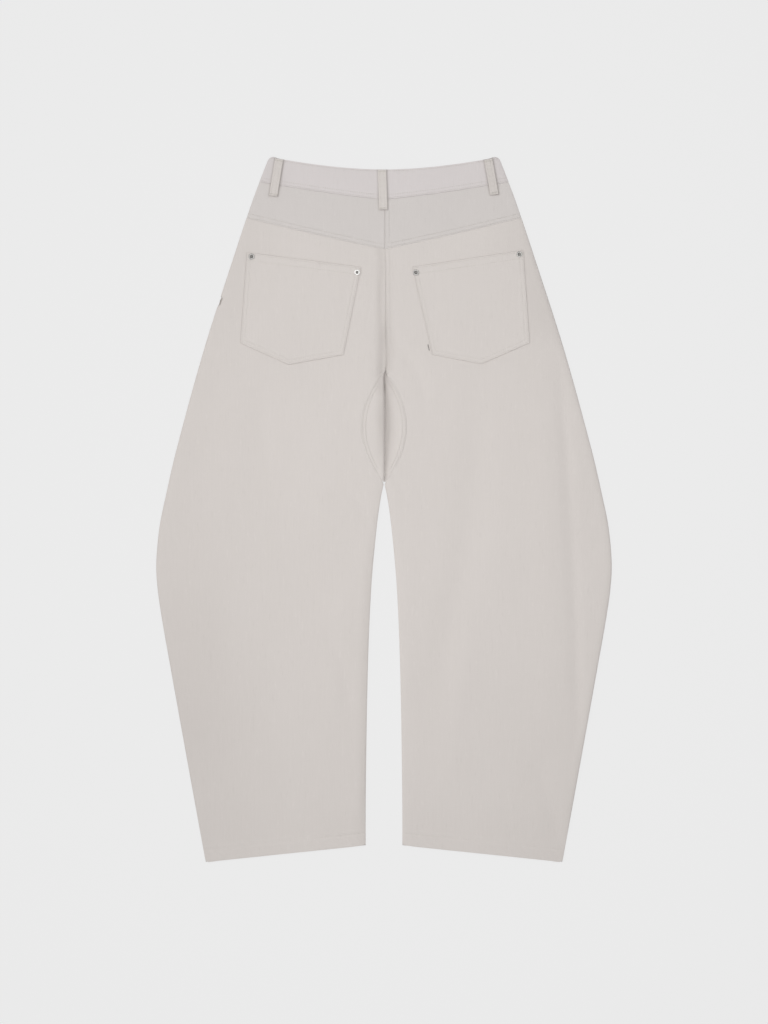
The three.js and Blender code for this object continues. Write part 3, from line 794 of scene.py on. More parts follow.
# %% The drawn-in side seam, and the two back legs
SIDE_RIVET_Y = 312
NOTCH_DEEP = 3.8
NOTCH_SHADE = 0.9
NOTCH_HALF = 6.5
NOTCH_STEP = 1.3


def side_notch(side, u, y):
    if side > 0:
        return 0.0
    off = abs(y - SIDE_RIVET_Y)
    return NOTCH_DEEP * (1 - smooth(off, NOTCH_HALF - 2.5, NOTCH_HALF + 2.5)) * smooth(u, 0.96, 1)


def leg_rows(top):
    """Rows up the leg, with close ones where the notch is."""
    x = side_seam(SIDE_RIVET_Y)
    low, high = hem_line(x), top(x)
    close = [(SIDE_RIVET_Y + NOTCH_STEP * n - low) / (high - low) for n in range(-8, 9)]
    return sorted({*crowded(214, 0.5), *close})


def back_leg(name, side):
    def top(x):
        return yoke_seam(x) - HALF_GAP

    def place(u, v):
        x, y = between(panel_inner, side_seam, hem_line, top, u, v)
        corner = max(0.0, CORNER - (y - hem_line(x)))
        pull = CORNER - math.sqrt(CORNER**2 - corner**2)
        x -= pull * smooth(u, 0.9, 1) - pull * (1 - smooth(u, 0, 0.1))
        high = underside(side * x, y) + CLOTH + leg_relief(side * x, y)
        return drifted(side * (x - side_notch(side, u, y)), y), y, high

    node = f"back_leg_{name}"
    lay_sheet(
        f"{node}_cloth", [node], crowded(88, 0.72), leg_rows(top), place,
        shade=leg_shade,
    )


for name, side in (("left", -1), ("right", 1)):
    back_leg(name, side)

# %% [markdown]
# ## Yoke and waistband
# The yoke takes the place of darts: its seam shapes the cloth over the seat. It is lapped over the leg
# and sewn down twice, so its lower edge stands a little proud. The back waistband is doubled cloth, which
# makes it the thickest and flattest part, with rounded long edges.

# %% Where the back belt loops lie
LOOP_WIDE = 12.8
LOOP_NEAR = 160
BACK_LOOPS = {  # top x, top y, end x, end y
    "belt_loop_back_centre": (-3, 508.6, -1, 449),
    "belt_loop_back_left": (-157, 524.6, -166, 469.5),
    "belt_loop_back_right": (156, 524.2, 165.5, 471.5),
}
LOOP_ROW = 3.4
# Painted shade round each back loop, and over the loop itself.
LOOP_SHADE = {  # beside the left edge, the right edge and the lower end, and on the loop itself
    "belt_loop_back_centre": (0.24, 0.36, 0.32, 0.015),
    "belt_loop_back_left": (0.28, 0.52, 0.32, 0.045),
    "belt_loop_back_right": (0.36, 0.38, 0.3, 0.085),
}
BAND_END_SHADE = 0.055


def shade_beside_loops(x, y):
    """Painted shade on the cloth right beside the thick loops, which keep the light from it."""
    depth = 0.0
    for node, (top_x, top_y, end_x, end_y) in BACK_LOOPS.items():
        left, right, under, _ = LOOP_SHADE[node]
        along = (top_y - y) / (top_y - end_y)
        off = x - mix(top_x, end_x, along)
        beyond = abs(off) - LOOP_WIDE / 2
        below = end_y - y
        if beyond > 5 or below > 5:
            continue
        side = (left if off < 0 else right) * bell(max(beyond, 0), 1.7) * (1 - smooth(below, 0, 2))
        end = under * bell(max(below, 0), 1.4) * (1 - smooth(beyond, 0, 2)) * smooth(below, -2, 0)
        depth = max(depth, side, end)
    return depth


def band_shade(x, y):
    """Painted shade beside the loops, and a little more towards the band's ends."""
    return shade_beside_loops(x, y) + BAND_END_SHADE * smooth(abs(x), 130, 170)


print("shade beside the centre loop:", round(shade_beside_loops(4.5, 480), 2))

# %% Yoke
def yoke(name, side):
    def place(u, v):
        x, y = between(
            lambda at: HALF_GAP, side_seam,
            lambda at: yoke_seam(at) + HALF_GAP, lambda at: waist_seam(at) - HALF_GAP, u, v,
        )
        height = sewn_edge(y - yoke_seam(x), side * x, EDGE_ROWS, SEED["yoke"])
        height += (0.3 if side < 0 else 0.7) * tucked_edge(waist_seam(x) - y, side * x, SEED["band"])
        if side > 0:
            height += sewn_edge(x, y, CENTRE_ROWS, SEED["centre"])
        else:
            height += tucked_edge(x, y, SEED["centre"])
        return drifted(side * x, y), y, underside(side * x, y) + CLOTH + height

    node = f"yoke_{name}"
    lay_sheet(
        f"{node}_cloth", [node], crowded(120, 0.4), crowded(44, 0.5), place,
        shade=shade_beside_loops, finish=TWILL_YOKE,
    )


for name, side in (("left", -1), ("right", 1)):
    yoke(name, side)

# %% [markdown]
# The band is one grid from side to side. Its columns are close together where the belt loops cross it,
# because the narrow shadows beside them are stored at its vertices.

# %% Back waistband
BAND_CORNER = 6.0
BAND_ROWS = (1.9, 6.4)
WAIST_ROW = 2.2
SWELL, SWELL_AT, SWELL_WIDE = 0.4, 22, 12


def band_columns():
    """Shares across the band, with close ones where the belt loops cross it."""
    shares = set(crowded(130, 0.1))
    half = side_seam(waist_seam(LOOP_NEAR))
    for top_x, _, end_x, _ in BACK_LOOPS.values():
        low, high = min(top_x, end_x) - LOOP_WIDE, max(top_x, end_x) + LOOP_WIDE
        count = int((high - low) / 0.8)
        shares.update(clamp(0.5 + mix(low, high, n / count) / (2 * half)) for n in range(count + 1))
    return sorted(shares)


def back_waistband():
    def place(u, v):
        sign = -1 if u < 0.5 else 1
        share = abs(2 * u - 1)
        x, y = between(
            lambda at: 0.0, side_seam, lambda at: waist_seam(at) + HALF_GAP, waist_edge, share, v,
        )
        to_seam, to_edge = y - waist_seam(x), waist_edge(x) - y
        height = sewn_edge(to_seam, sign * x, BAND_ROWS, SEED["band"], raised=0.0)
        height += sewn_edge(to_edge, sign * x, (WAIST_ROW,), SEED["waist"], raised=0.05)
        height += SWELL * bell(to_seam - SWELL_AT, SWELL_WIDE)
        corner = max(0.0, BAND_CORNER - to_edge)
        pull = BAND_CORNER - math.sqrt(BAND_CORNER**2 - corner**2)
        return sign * (x - pull * smooth(share, 0.9, 1)), y, underside(x, y) + BAND + height

    lay_sheet(
        "waistband_back_cloth", ["waistband_back"], band_columns(), crowded(26, 0.6), place,
        thick=BAND, rounding=1.1,
        shade=band_shade, finish=TWILL_BAND,
    )


back_waistband()

# %% [markdown]
# ## Back pockets
# The pockets are patches with a pointed lower end. Their edges are turned under, which makes them thicker
# all round, and the mouth has a wider turned hem. Each is laid on the panel below by asking for the
# panel's height at the same point and adding to it, so it follows every fold.

# %% The pockets' shape
POCKET_POINT = 0.52
POCKET_CLOTH = 1.0
POCKET_STAND = 1.3
POCKET_RIM_SHADE = 0.2
MOUTH_HEM = 11.5
MOUTH_HEM_EXTRA = 0.2
MOUTH_ROW = 2.2
POCKET_ROWS = (1.9, 6.3)
POCKETS = {  # corners, seen in the photo
    "left": {
        "inside_top": (-34.5, 363), "outside_top": (-205.5, 384.8),
        "outside_end": (-215.3, 249.3), "point": (-143, 216.8), "inside_end": (-60.8, 231.8),
    },
    "right": {
        "inside_top": (42.5, 363), "outside_top": (208.5, 388),
        "outside_end": (218, 249.8), "point": (145.8, 218), "inside_end": (72, 232),
    },
}


def line_distance(point, start, end):
    dx, dy = end[0] - start[0], end[1] - start[1]
    return abs((point[0] - start[0]) * dy - (point[1] - start[1]) * dx) / math.hypot(dx, dy)


def pocket_point(corners, u, v):
    if u < POCKET_POINT:
        start, end, share = corners["inside_end"], corners["point"], u / POCKET_POINT
    else:
        start, end, share = corners["point"], corners["outside_end"], (u - POCKET_POINT) / (1 - POCKET_POINT)
    low = [mix(start[k], end[k], share) for k in (0, 1)]
    high = [mix(corners["inside_top"][k], corners["outside_top"][k], u) for k in (0, 1)]
    return mix(low[0], high[0], v), mix(low[1], high[1], v)


def pocket_edges(corners, point):
    """Distances to the mouth, the two sides and the two lower edges."""
    c = corners
    return (
        line_distance(point, c["inside_top"], c["outside_top"]),
        line_distance(point, c["inside_top"], c["inside_end"]),
        line_distance(point, c["outside_top"], c["outside_end"]),
        line_distance(point, c["inside_end"], c["point"]),
        line_distance(point, c["point"], c["outside_end"]),
    )


left_pocket = POCKETS["left"]
print("left mouth:", round(math.dist(left_pocket["inside_top"], left_pocket["outside_top"])), "mm wide")

# %% [markdown]
# The height of a pocket's face is the panel's height and what the pocket adds to it. Its rivets and its
# stitches ask for the same height later, so they follow it.

# %% Back pockets
def pocket_face(corners, x, y):
    mouth, *others = pocket_edges(corners, (x, y))
    around = min(others)
    height = sewn_edge(around, x + y, POCKET_ROWS, SEED["pocket"], raised=0.15)
    height += MOUTH_HEM_EXTRA * (1 - smooth(mouth, MOUTH_HEM, MOUTH_HEM + 2))
    height -= 0.2 * bell(mouth - MOUTH_HEM, 0.9) + 0.15 * bell(mouth - MOUTH_ROW, 0.9)
    height += 0.08 * pucker(x, SEED["mouth"]) * bell(mouth - 5, 6)
    right_edge = others[0] if corners["inside_top"][0] < 0 else others[1]
    height -= 0.25 * bell(right_edge, 1.2)
    middle = smooth(around, 6, 40) * smooth(mouth, 6, 40)
    return underside(x, y) + CLOTH + POCKET_STAND + height + 0.4 * middle


def back_pocket(name):
    corners = POCKETS[name]

    def place(u, v):
        x, y = pocket_point(corners, u, v)
        return x, y, pocket_face(corners, x, y)

    # Painted shade along the pocket's left edge.
    def shade(x, y):
        outer_side, inner_side = pocket_edges(corners, (x, y))[1:3]
        left_edge = inner_side if name == "left" else outer_side
        return POCKET_RIM_SHADE * bell(left_edge, 0.8)

    us = sorted({*crowded(56, 0.6), POCKET_POINT, 0.004, 0.008, 0.992, 0.996})
    node = f"back_pocket_{name}"
    lay_sheet(
        f"{node}_cloth", [node], us, crowded(54, 0.6), place, thick=POCKET_CLOTH, rounding=0.45,
        shade=shade,
    )


for name in POCKETS:
    back_pocket(name)

# %% [markdown]
# ## Crotch gusset
# The gusset is one lens of cloth between the legs. It is folded along its middle: each half comes down
# from the seam on the back, turns round the edge of its leg and goes back to the seam on the front. So
# its section is a C on each side, and the two meet at the crotch. A sheet laid over that C, given
# thickness inwards, makes it.

# %% The gusset's section
GUSSET_CLOTH = 1.0
GUSSET_CHANNELS = (1.9, 6.0)
VALLEY_FLOOR = 1.6
VALLEY_REACH = 31
LIP_RISE = 0.8
# Painted shade of the fold, beside it and in its dark line.
FOLD_SHADE = (  # y, depth of colour beside the fold, depth of the dark line in it
    (41, 0.05, 0.1), (52, 0.06, 0.09), (74, 0.14, 0.06), (119, 0.22, 0.04), (150, 0.22, 0.04),
    (172, 0.17, 0.2), (184, 0.05, 0.7), (196, 0.03, 0.6), (206, 0.03, 0.45),
)
BACK_SHARE, BEND_SHARE = 0.66, 0.8
GUSSET_STRIPS = 60


def gusset_back(side, x, y, seam):
    """Height of the half that shows: the left one ends in a raised lip, the right one sinks to the fold."""
    flat = underside(side * max(x, 12), y) + CLOTH
    relief = sewn_edge(seam - x, y, GUSSET_CHANNELS, SEED["gusset"], raised=-0.1) * smooth(seam, 6, 22)
    if side < 0:
        hump = LIP_RISE * (1 - smooth(x, 3, 0.9 * seam)) * smooth(seam, 3, 18)
        return flat + relief + hump
    relief *= 0.4
    reach = min(VALLEY_REACH, 0.88 * seam)
    level = underside(side * max(reach, 12), y) + CLOTH
    start = 0.24 * smooth(y, 75, 120)
    return mix(VALLEY_FLOOR, max(flat, level), smooth(x, start * reach, reach)) + relief


def gusset_section(side, y, t):
    """A point of the C: t from 0 at the back seam, round the fold, to 1 at the front seam."""
    seam = max(gusset_half(y) - HALF_GAP, 0.9)
    fold = gusset_back(side, 2.4 if side < 0 else 1.2, y, seam)
    turn = min(fold / 2, 0.8 * seam)
    edge = HALF_GAP + turn
    if t < BACK_SHARE:
        x = mix(seam, edge, t / BACK_SHARE)
        return x, gusset_back(side, x, y, seam)
    if t < BEND_SHARE:
        angle = math.pi * (t - BACK_SHARE) / (BEND_SHARE - BACK_SHARE)
        level = gusset_back(side, edge, y, seam)
        return HALF_GAP + turn * (1 - math.sin(angle)), level * (0.5 + 0.5 * math.cos(angle))
    return mix(edge, seam, (t - BEND_SHARE) / (1 - BEND_SHARE)), 0.0


print("fold half way down:", [round(size, 1) for size in gusset_section(1, 120, BACK_SHARE)], "mm")

# %% [markdown]
# The fold is the darkest place of the garment. The left half ends in a raised lip, and the right half
# sinks under it, out of the light. So the painted shade on the right is deep and wide, while on the left
# a narrow band of it and the end of the trough meet the fold.

# %% The gusset's shade
def gusset_shade(x, y):
    """Painted shade: deep and wide to the right of the fold, narrow to its left."""
    depth, line = table_row(FOLD_SHADE, y)
    off = x - centre_drift(y)
    wide = 0.5 * gusset_half(y)
    line *= bell(off + 1.2 * smooth(y, 184, 200), 1.8)
    if off > 0:
        return line + depth * (1 - smooth(off, 0.2 * wide, 1.15 * wide))
    trough = centre_shade(x, y) * smooth(-off, 0, 3)
    return line + 0.85 * depth * bell(off, min(8.5, 0.5 * wide + 1.5)) + trough


def half_gusset(side):
    """One half as a mesh of its own, with its faces turned outwards."""
    bm = bmesh.new()
    bmesh.ops.create_grid(bm, x_segments=56, y_segments=64, size=0.5)
    for vert in bm.verts:
        share = (1 - math.cos(math.pi * (vert.co.y + 0.5))) / 2
        y = mix(LEGS_PART_Y + 0.6, CROTCH_Y - 0.2, share)
        x, z = gusset_section(side, y, vert.co.x + 0.5)
        vert.co = Vector((drifted(side * x, y), y, z)) * MM
    bm.normal_update()
    highest = max(bm.faces, key=lambda face: face.calc_center_median().z)
    if highest.normal.z < 0:
        bmesh.ops.reverse_faces(bm, faces=bm.faces)
    half = bpy.data.meshes.new("half gusset")
    bm.to_mesh(half)
    bm.free()
    return half


# %% Gusset
def gusset():
    bm = bmesh.new()
    for side in (-1, 1):
        half = half_gusset(side)
        bm.from_mesh(half)
        bpy.data.meshes.remove(half)
    # Each vertex stores the fold's painted shade.
    shades = [gusset_shade(vert.co.x / MM, vert.co.y / MM) for vert in bm.verts]
    obj = new_object("crotch_gusset_cloth", bm)
    set_shade(obj, shades)
    thicken(obj, GUSSET_CLOTH)
    finish_piece(obj, ["crotch_gusset"], TWILL)
    long = CROTCH_Y - LEGS_PART_Y
    strips = [LEGS_PART_Y + long * (n + 0.5) / GUSSET_STRIPS for n in range(GUSSET_STRIPS)]
    area = sum(4 * gusset_half(y) for y in strips) * long / GUSSET_STRIPS * MM * MM
    print("gusset area", round(area, 4), "m2")


gusset()

# %% [markdown]
# ## Belt loops
# A belt loop is a folded strip, sewn down at both ends and free between them, so that a belt can pass. It
# bows a little off the band. Two rows of stitches run along it and leave three low ridges.

# %% Back belt loops
LOOP_THICK = 1.8
LOOP_CLEAR = 0.15
LOOP_BOW = 0.4
LOOP_RIM_SHADE = 0.2
TACK_IN = 2.5


def loop_height(top_x, top_y, end_x, end_y, v):
    middle = (top_x + end_x) / 2
    seam_at = (top_y - waist_seam(middle)) / (top_y - end_y)
    band_top = underside(middle, waist_seam(middle)) + BAND + LOOP_CLEAR + 0.45
    yoke_top = underside(end_x, end_y) + CLOTH + LOOP_CLEAR + 0.1
    low = mix(band_top, yoke_top, smooth(v, seam_at + 0.03, seam_at + 0.16))
    return low + LOOP_BOW * math.sin(math.pi * min(v / 0.9, 1))


def belt_loop(node, ends):
    top_x, top_y, end_x, end_y = ends
    long = math.hypot(end_x - top_x, end_y - top_y)
    aside = ((top_y - end_y) / long, (end_x - top_x) / long)

    def place(u, v):
        off = (u - 0.5) * LOOP_WIDE
        from_edge = LOOP_WIDE / 2 - abs(off)
        ridge = -0.2 * bell(from_edge - LOOP_ROW, 0.8) - 0.3 * bell(from_edge, 0.8)
        tack = -0.15 * (bell(v * long - TACK_IN, 1.6) + bell((1 - v) * long - TACK_IN, 1.6))
        wave = 0.12 * pucker(v * long, SEED["loop"])
        x = mix(top_x, end_x, v) + aside[0] * off
        y = mix(top_y, end_y, v) + aside[1] * off
        return x, y, loop_height(*ends, v) + LOOP_THICK + ridge + tack + wave

    # Painted shade on the loop's rims, and a little over the whole loop.
    def shade(x, y):
        off = x - mix(top_x, end_x, (top_y - y) / (top_y - end_y))
        rim = max(bell(LOOP_WIDE / 2 - abs(off), 0.6), bell(y - end_y, 0.8))
        return LOOP_SHADE[node][3] + LOOP_RIM_SHADE * rim

    lay_sheet(
        f"{node}_cloth", [node], crowded(30, 0.7), crowded(56, 0.6), place,
        thick=LOOP_THICK, rounding=0.7, shade=shade, cut=(LOOP_WIDE, long),
    )


for node, ends in BACK_LOOPS.items():
    belt_loop(node, ends)

# %% [markdown]
# ## The front, underneath
# The front lies on the table, where nobody sees it in the photo. It still has what a pair of trousers
# must have: two front legs, the curved pocket mouths with their facings, the two halves of the waistband,
# two belt loops, a button and a zip. They are flat, because the table presses them flat, and they stand
# off it by the height of their stitches. The mouth is a quarter ellipse. The leg's top edge follows it,
# and so does the facing's inner side. The leg is laid in two parts of one grid, below the mouth and
# beside it, so that no row has to turn too sharply.

# %% The pocket mouth
FRONT_PROUD = 0.25
FRONT_SPLIT = 0.8
MOUTH_WAIST_Y = front_seam(MOUTH_WAIST_X)
MOUTH_SIDE_X = side_seam(MOUTH_SIDE_Y)


def mouth_x(y):
    down = clamp((MOUTH_WAIST_Y - y) / (MOUTH_WAIST_Y - MOUTH_SIDE_Y))
    return mix(MOUTH_WAIST_X, MOUTH_SIDE_X, 1 - math.sqrt(1 - down * down))


def mouth_y(x):
    left = 1 - clamp((x - MOUTH_WAIST_X) / (MOUTH_SIDE_X - MOUTH_WAIST_X))
    return mix(MOUTH_WAIST_Y, MOUTH_SIDE_Y, math.sqrt(1 - left * left))


def front_outer(y):
    return side_seam(min(y, MOUTH_SIDE_Y))


def front_top(x):
    return (front_seam(x) if x < MOUTH_WAIST_X else mouth_y(x)) - HALF_GAP


def below_mouth(x):
    return MOUTH_SIDE_Y - 18


print("front mouth:", round(MOUTH_SIDE_X - MOUTH_WAIST_X), "by", round(MOUTH_WAIST_Y - MOUTH_SIDE_Y), "mm")


# %% [markdown]
# The front leg is the largest piece that lies on the table. Extra columns lie close together where the
# mouth turns down, and near the side seam, where painted shade darkens it in the rivet's notch.

# %% Front legs
def front_leg(name, side):
    def place(u, v):
        if v < FRONT_SPLIT:
            x, y = between(panel_inner, side_seam, hem_line, below_mouth, u, v / FRONT_SPLIT)
        else:
            upper = (v - FRONT_SPLIT) / (1 - FRONT_SPLIT)
            x, y = between(panel_inner, front_outer, below_mouth, front_top, u, upper)
        return side * (x - 0.3 * side_notch(side, u, y)), y, FRONT_PROUD

    # Painted shade on the front cloth that shows in the rivet's notch.
    def shade(x, y):
        return NOTCH_SHADE * bell(side_seam(y) - side * x, 5) * bell(y - SIDE_RIVET_Y, NOTCH_HALF)

    node = f"front_leg_{name}"
    at_mouth = [(MOUTH_WAIST_X + 0.01 + 32 * t * t) / MOUTH_SIDE_X for t in crowded(8, 0)]
    us = sorted({*crowded(40, 0.5), *at_mouth, 0.985, 0.995})
    vs = [FRONT_SPLIT * t for t in crowded(84, 0.2)] + [mix(FRONT_SPLIT, 1, t) for t in crowded(34, 0.3)[1:]]
    lay_sheet(
        f"{node}_cloth", [node], us, vs, place, thick=CLOTH - FRONT_PROUD, face_up=False, shade=shade,
    )


# %% Facings behind the pocket mouths
def pocket_facing(name, side):
    def place(u, v):
        x, y = between(
            lambda at: mouth_x(at) + 2 * HALF_GAP, side_seam,
            lambda at: MOUTH_SIDE_Y + 0.4, lambda at: front_seam(at) - HALF_GAP, u, v,
        )
        return side * x, y, FRONT_PROUD

    node = f"pocket_facing_{name}"
    lay_sheet(
        f"{node}_cloth", [node], crowded(16, 0.3), crowded(40, 0.5), place,
        thick=CLOTH - FRONT_PROUD, face_up=False,
    )


# %% [markdown]
# The front band is closed by the button, so its left half reaches past the middle. The two loops and the
# button are pressed into its cloth, which has a shallow hollow round each of them, and so the table still
# carries them flat.

# %% Front waistband and its loops
FRONT_BAND_THICK = 1.3
FRONT_LOOP_X = 92
FRONT_LOOP_THICK = 0.8
FRONT_LOOP_GAP = 1.2
BUTTON_RADIUS = 8.5
BUTTON_Y = (front_edge(0) + front_seam(0)) / 2


def front_band(name, side):
    start = side * BAND_END_X + HALF_GAP

    def place(u, v):
        x, y = between(
            lambda at: start, side_seam, lambda at: front_seam(at) + HALF_GAP, front_edge, u, v,
        )
        from_loop = abs(x - FRONT_LOOP_X) - LOOP_WIDE / 2
        inset = INSET_DEPTH * (1 - smooth(from_loop, 0.2, 1.2))
        if side < 0:
            from_button = math.hypot(x, y - BUTTON_Y) - BUTTON_RADIUS
            inset = max(inset, INSET_DEPTH * (1 - smooth(from_button, 0.2, 1.4)))
        return side * x, y, max(inset, FRONT_PROUD)

    node = f"waistband_front_{name}"
    lay_sheet(
        f"{node}_cloth", [node], crowded(150, 0.0), crowded(24, 0.3), place,
        thick=FRONT_BAND_THICK, rounding=0.5, face_up=False,
    )


def front_loop(name, side):
    def place(u, v):
        x = FRONT_LOOP_X + (u - 0.5) * (LOOP_WIDE - 0.6)
        return side * x, mix(front_seam(x) + FRONT_LOOP_GAP, front_edge(x) - FRONT_LOOP_GAP, v), FRONT_PROUD

    node = f"belt_loop_front_{name}"
    lay_sheet(
        f"{node}_cloth", [node], crowded(8, 0.3), crowded(16, 0.3), place,
        thick=FRONT_LOOP_THICK, rounding=0.3, face_up=False,
    )


for name, side in (("left", -1), ("right", 1)):
    front_leg(name, side)
    pocket_facing(name, side)
    front_band(name, side)
    front_loop(name, side)

# %% [markdown]
# ## Rivets, button and zip
# Each rivet is a turned piece: a domed ring round a sunken eye. A half profile spun about an upright axis
# gives it, as a lathe would. The button is spun the same way and faces down.

# %% Turned metal
RIVET_RADIUS = 4.5
RIVETS = {  # x, y, radius of the eye, finish of the ring
    "rivet_left_outer": (-198.3, 378.5, 2.3, NICKEL),
    # This ring has the painted highlight.
    "rivet_left_inner": (-40.2, 355.0, 1.9, HIGHLIT_NICKEL),
    "rivet_right_inner": (47.8, 354.8, 2.3, NICKEL),
    "rivet_right_outer": (202.6, 382.0, 2.1, NICKEL),
}
SIDE_RIVETS = {"rivet_side_left": (-1, 5.6), "rivet_side_right": (1, 6.5)}  # side, inset from the seam
BUTTON_PROFILE = (  # radius, height
    (8.5, 1.2), (8.5, 0.45), (8.1, 0.12), (7.4, 0.0), (6.7, 0.08), (6.2, 0.32), (5.6, 0.42),
    (3.0, 0.34), (0.0, 0.3),
)


def ring_profile(eye):
    """A domed ring round a sunken eye, from the rim inwards."""
    ring = RIVET_RADIUS - eye
    outside = [(RIVET_RADIUS, 0.0), (RIVET_RADIUS, 0.5)]
    dome = []
    for n in range(7):
        angle = math.pi * (n + 1) / 8
        dome.append((eye + ring * (0.5 + 0.5 * math.cos(angle)), 0.55 + 0.75 * math.sin(angle) ** 0.8))
    return outside + dome + [(eye, 0.5), (0.75 * eye, 0.36), (0.0, 0.3)]


def spun(name, node, profile, centre, base_z, finish, eye=0.0, steps=48):
    """Spin a half profile, given as radius and height, about an upright axis."""
    bm = bmesh.new()
    verts = [bm.verts.new((radius * MM, 0, height * MM)) for radius, height in profile]
    edges = [bm.edges.new(pair) for pair in zip(verts, verts[1:])]
    bmesh.ops.spin(
        bm, geom=verts + edges, axis=(0, 0, 1), cent=(0, 0, 0),
        angle=2 * math.pi, steps=steps, use_merge=True,
    )
    bmesh.ops.remove_doubles(bm, verts=bm.verts, dist=1e-6)
    rim = [edge for edge in bm.edges if edge.is_boundary]
    bmesh.ops.contextual_create(bm, geom=rim)
    for face in bm.faces:
        centre_distance = face.calc_center_median().to_2d().length
        face.material_index = 1 if centre_distance < eye * MM else 0
    bmesh.ops.translate(bm, verts=bm.verts, vec=Vector((centre[0], centre[1], base_z)) * MM)
    bmesh.ops.recalc_face_normals(bm, faces=bm.faces)
    obj = new_object(name, bm)
    finish_piece(obj, [node], finish)
    if eye:
        obj.data.materials.append(TARNISH_AND_PAINTED_SHADE)


print("points of a rivet's profile:", len(ring_profile(2)))

# %% [markdown]
# A rivet's place is seen in the photo, and its height is the pocket's own at that point. The two side
# rivets point down, because they hold the front pockets, and so does the button.

# %% Rivets and button
RIVET_SET_IN = 0.1
SIDE_RIVET_HIGH = 1.3
SIDE_RIVET_EYE = 2.0

for node, (x, y, eye, finish) in RIVETS.items():
    corners = POCKETS["left" if x < 0 else "right"]
    base = pocket_face(corners, x, y) - RIVET_SET_IN
    spun(f"{node}_metal", node, ring_profile(eye), (x, y), base, finish, eye)

# The side rivets take the dark finish all over: painted shade for the notch they lie under.
for node, (side, inset) in SIDE_RIVETS.items():
    flipped = [(radius, SIDE_RIVET_HIGH - height) for radius, height in ring_profile(SIDE_RIVET_EYE)]
    centre = (side * (side_seam(SIDE_RIVET_Y) - inset), SIDE_RIVET_Y)
    spun(f"{node}_metal", node, flipped, centre, 0.0, TARNISH_AND_PAINTED_SHADE)

spun("waist_button_metal", "waist_button", BUTTON_PROFILE, (0, BUTTON_Y), 0.0, NICKEL, steps=64)
print("turned pieces:", len(RIVETS) + len(SIDE_RIVETS) + 1)

# %% [markdown]
# The zip lies between the front and the back, closed. Its teeth are small blocks that reach past the
# middle in turn from the left and the right tape, and the slider sits at the top.

# %% Zip tape
ZIP_HALF, ZIP_LOW = 11, 300
ZIP_LEVEL = CLOTH + SEAM_GAP
ZIP_TAPE_THICK = 0.6
ZIP_TOP = front_seam(0) - 2


def zip_tape():
    bm = bmesh.new()
    bmesh.ops.create_grid(bm, x_segments=12, y_segments=40, size=0.5)
    for vert in bm.verts:
        x = vert.co.x * 2 * ZIP_HALF
        y = mix(ZIP_LOW, ZIP_TOP, vert.co.y + 0.5)
        vert.co = Vector((x, y, ZIP_LEVEL + ZIP_TAPE_THICK)) * MM
    obj = new_object("fly_zip_tape", bm)
    thicken(obj, ZIP_TAPE_THICK)
    finish_piece(obj, ["fly_zip"], ZIP_TAPE)
    flat = (2 * ZIP_HALF * MM, (ZIP_TOP - ZIP_LOW) * MM)
    print("zip tape", round(flat[1], 3), "m long")


zip_tape()

# %% [markdown]
# All the teeth are one mesh of small bevelled blocks. The bevel's profile and material are given, because
# bmesh starts from other values than the editor does.

# %% Zip teeth and slider
TOOTH_STEP = 1.7
FIRST_TOOTH = 4
TOOTH_SIZE = (2.8, 1.1, 0.8)
TOOTH_ASIDE = 0.7
SLIDER_SIZE = (6.0, 8.5, 1.0)
SLIDER_DOWN = 9


def block(bm, centre, size):
    spot = Matrix.Translation(Vector(centre) * MM)
    bmesh.ops.create_cube(bm, size=1, matrix=spot @ Matrix.Diagonal((*(Vector(size) * MM), 1)))


def zip_metal():
    slider_y = front_seam(0) - SLIDER_DOWN
    start = ZIP_LOW + FIRST_TOOTH
    count = int((slider_y - start) / TOOTH_STEP)
    level = ZIP_LEVEL + ZIP_TAPE_THICK
    bm = bmesh.new()
    for n in range(count):
        side = 1 if n % 2 else -1
        block(bm, (TOOTH_ASIDE * side, start + n * TOOTH_STEP, level + 0.05), TOOTH_SIZE)
    block(bm, (0, slider_y, level + 0.1), SLIDER_SIZE)
    bmesh.ops.bevel(
        bm, geom=bm.edges, offset=0.15 * MM, offset_type="OFFSET",
        segments=1, profile=0.5, affect="EDGES", material=-1,
    )
    finish_piece(new_object("fly_zip_teeth", bm), [], NICKEL)
    print("zip teeth:", count)


zip_metal()

# %% [markdown]
# ## Stitching
# Topstitching is what makes trousers look sewn. Each stitch is a small flattened bead of thread about 3
# mm long. A row is a line of them at equal steps along a curve, set into the channel that the relief
# already has. There are a few thousand, so each bead has only twenty faces, and all the rows of one kind
# are one mesh.

# %% Stitch rows
STITCH_STEP = 3.4
STITCH_LONG = 2.7
STITCH_WIDE = 0.62
STITCH_HIGH = 0.5
STITCH_SET_OUT = 0.08
AHEAD = 1.2
CURVE_SAMPLES = 240


def curve_points(curve):
    """Points at equal steps along a curve, with its direction."""
    raw = [curve(i / CURVE_SAMPLES) for i in range(CURVE_SAMPLES + 1)]
    lengths = [0.0]
    for a, b in zip(raw, raw[1:]):
        lengths.append(lengths[-1] + math.hypot(b[0] - a[0], b[1] - a[1]))
    count = max(1, int(lengths[-1] / STITCH_STEP))
    step = lengths[-1] / count
    k = 0
    for n in range(count):
        goal = (n + 0.5) * step
        while lengths[k + 1] < goal:
            k += 1
        share = (goal - lengths[k]) / max(lengths[k + 1] - lengths[k], 1e-9)
        a, b = raw[k], raw[k + 1]
        yield mix(a[0], b[0], share), mix(a[1], b[1], share), math.atan2(b[1] - a[1], b[0] - a[0])


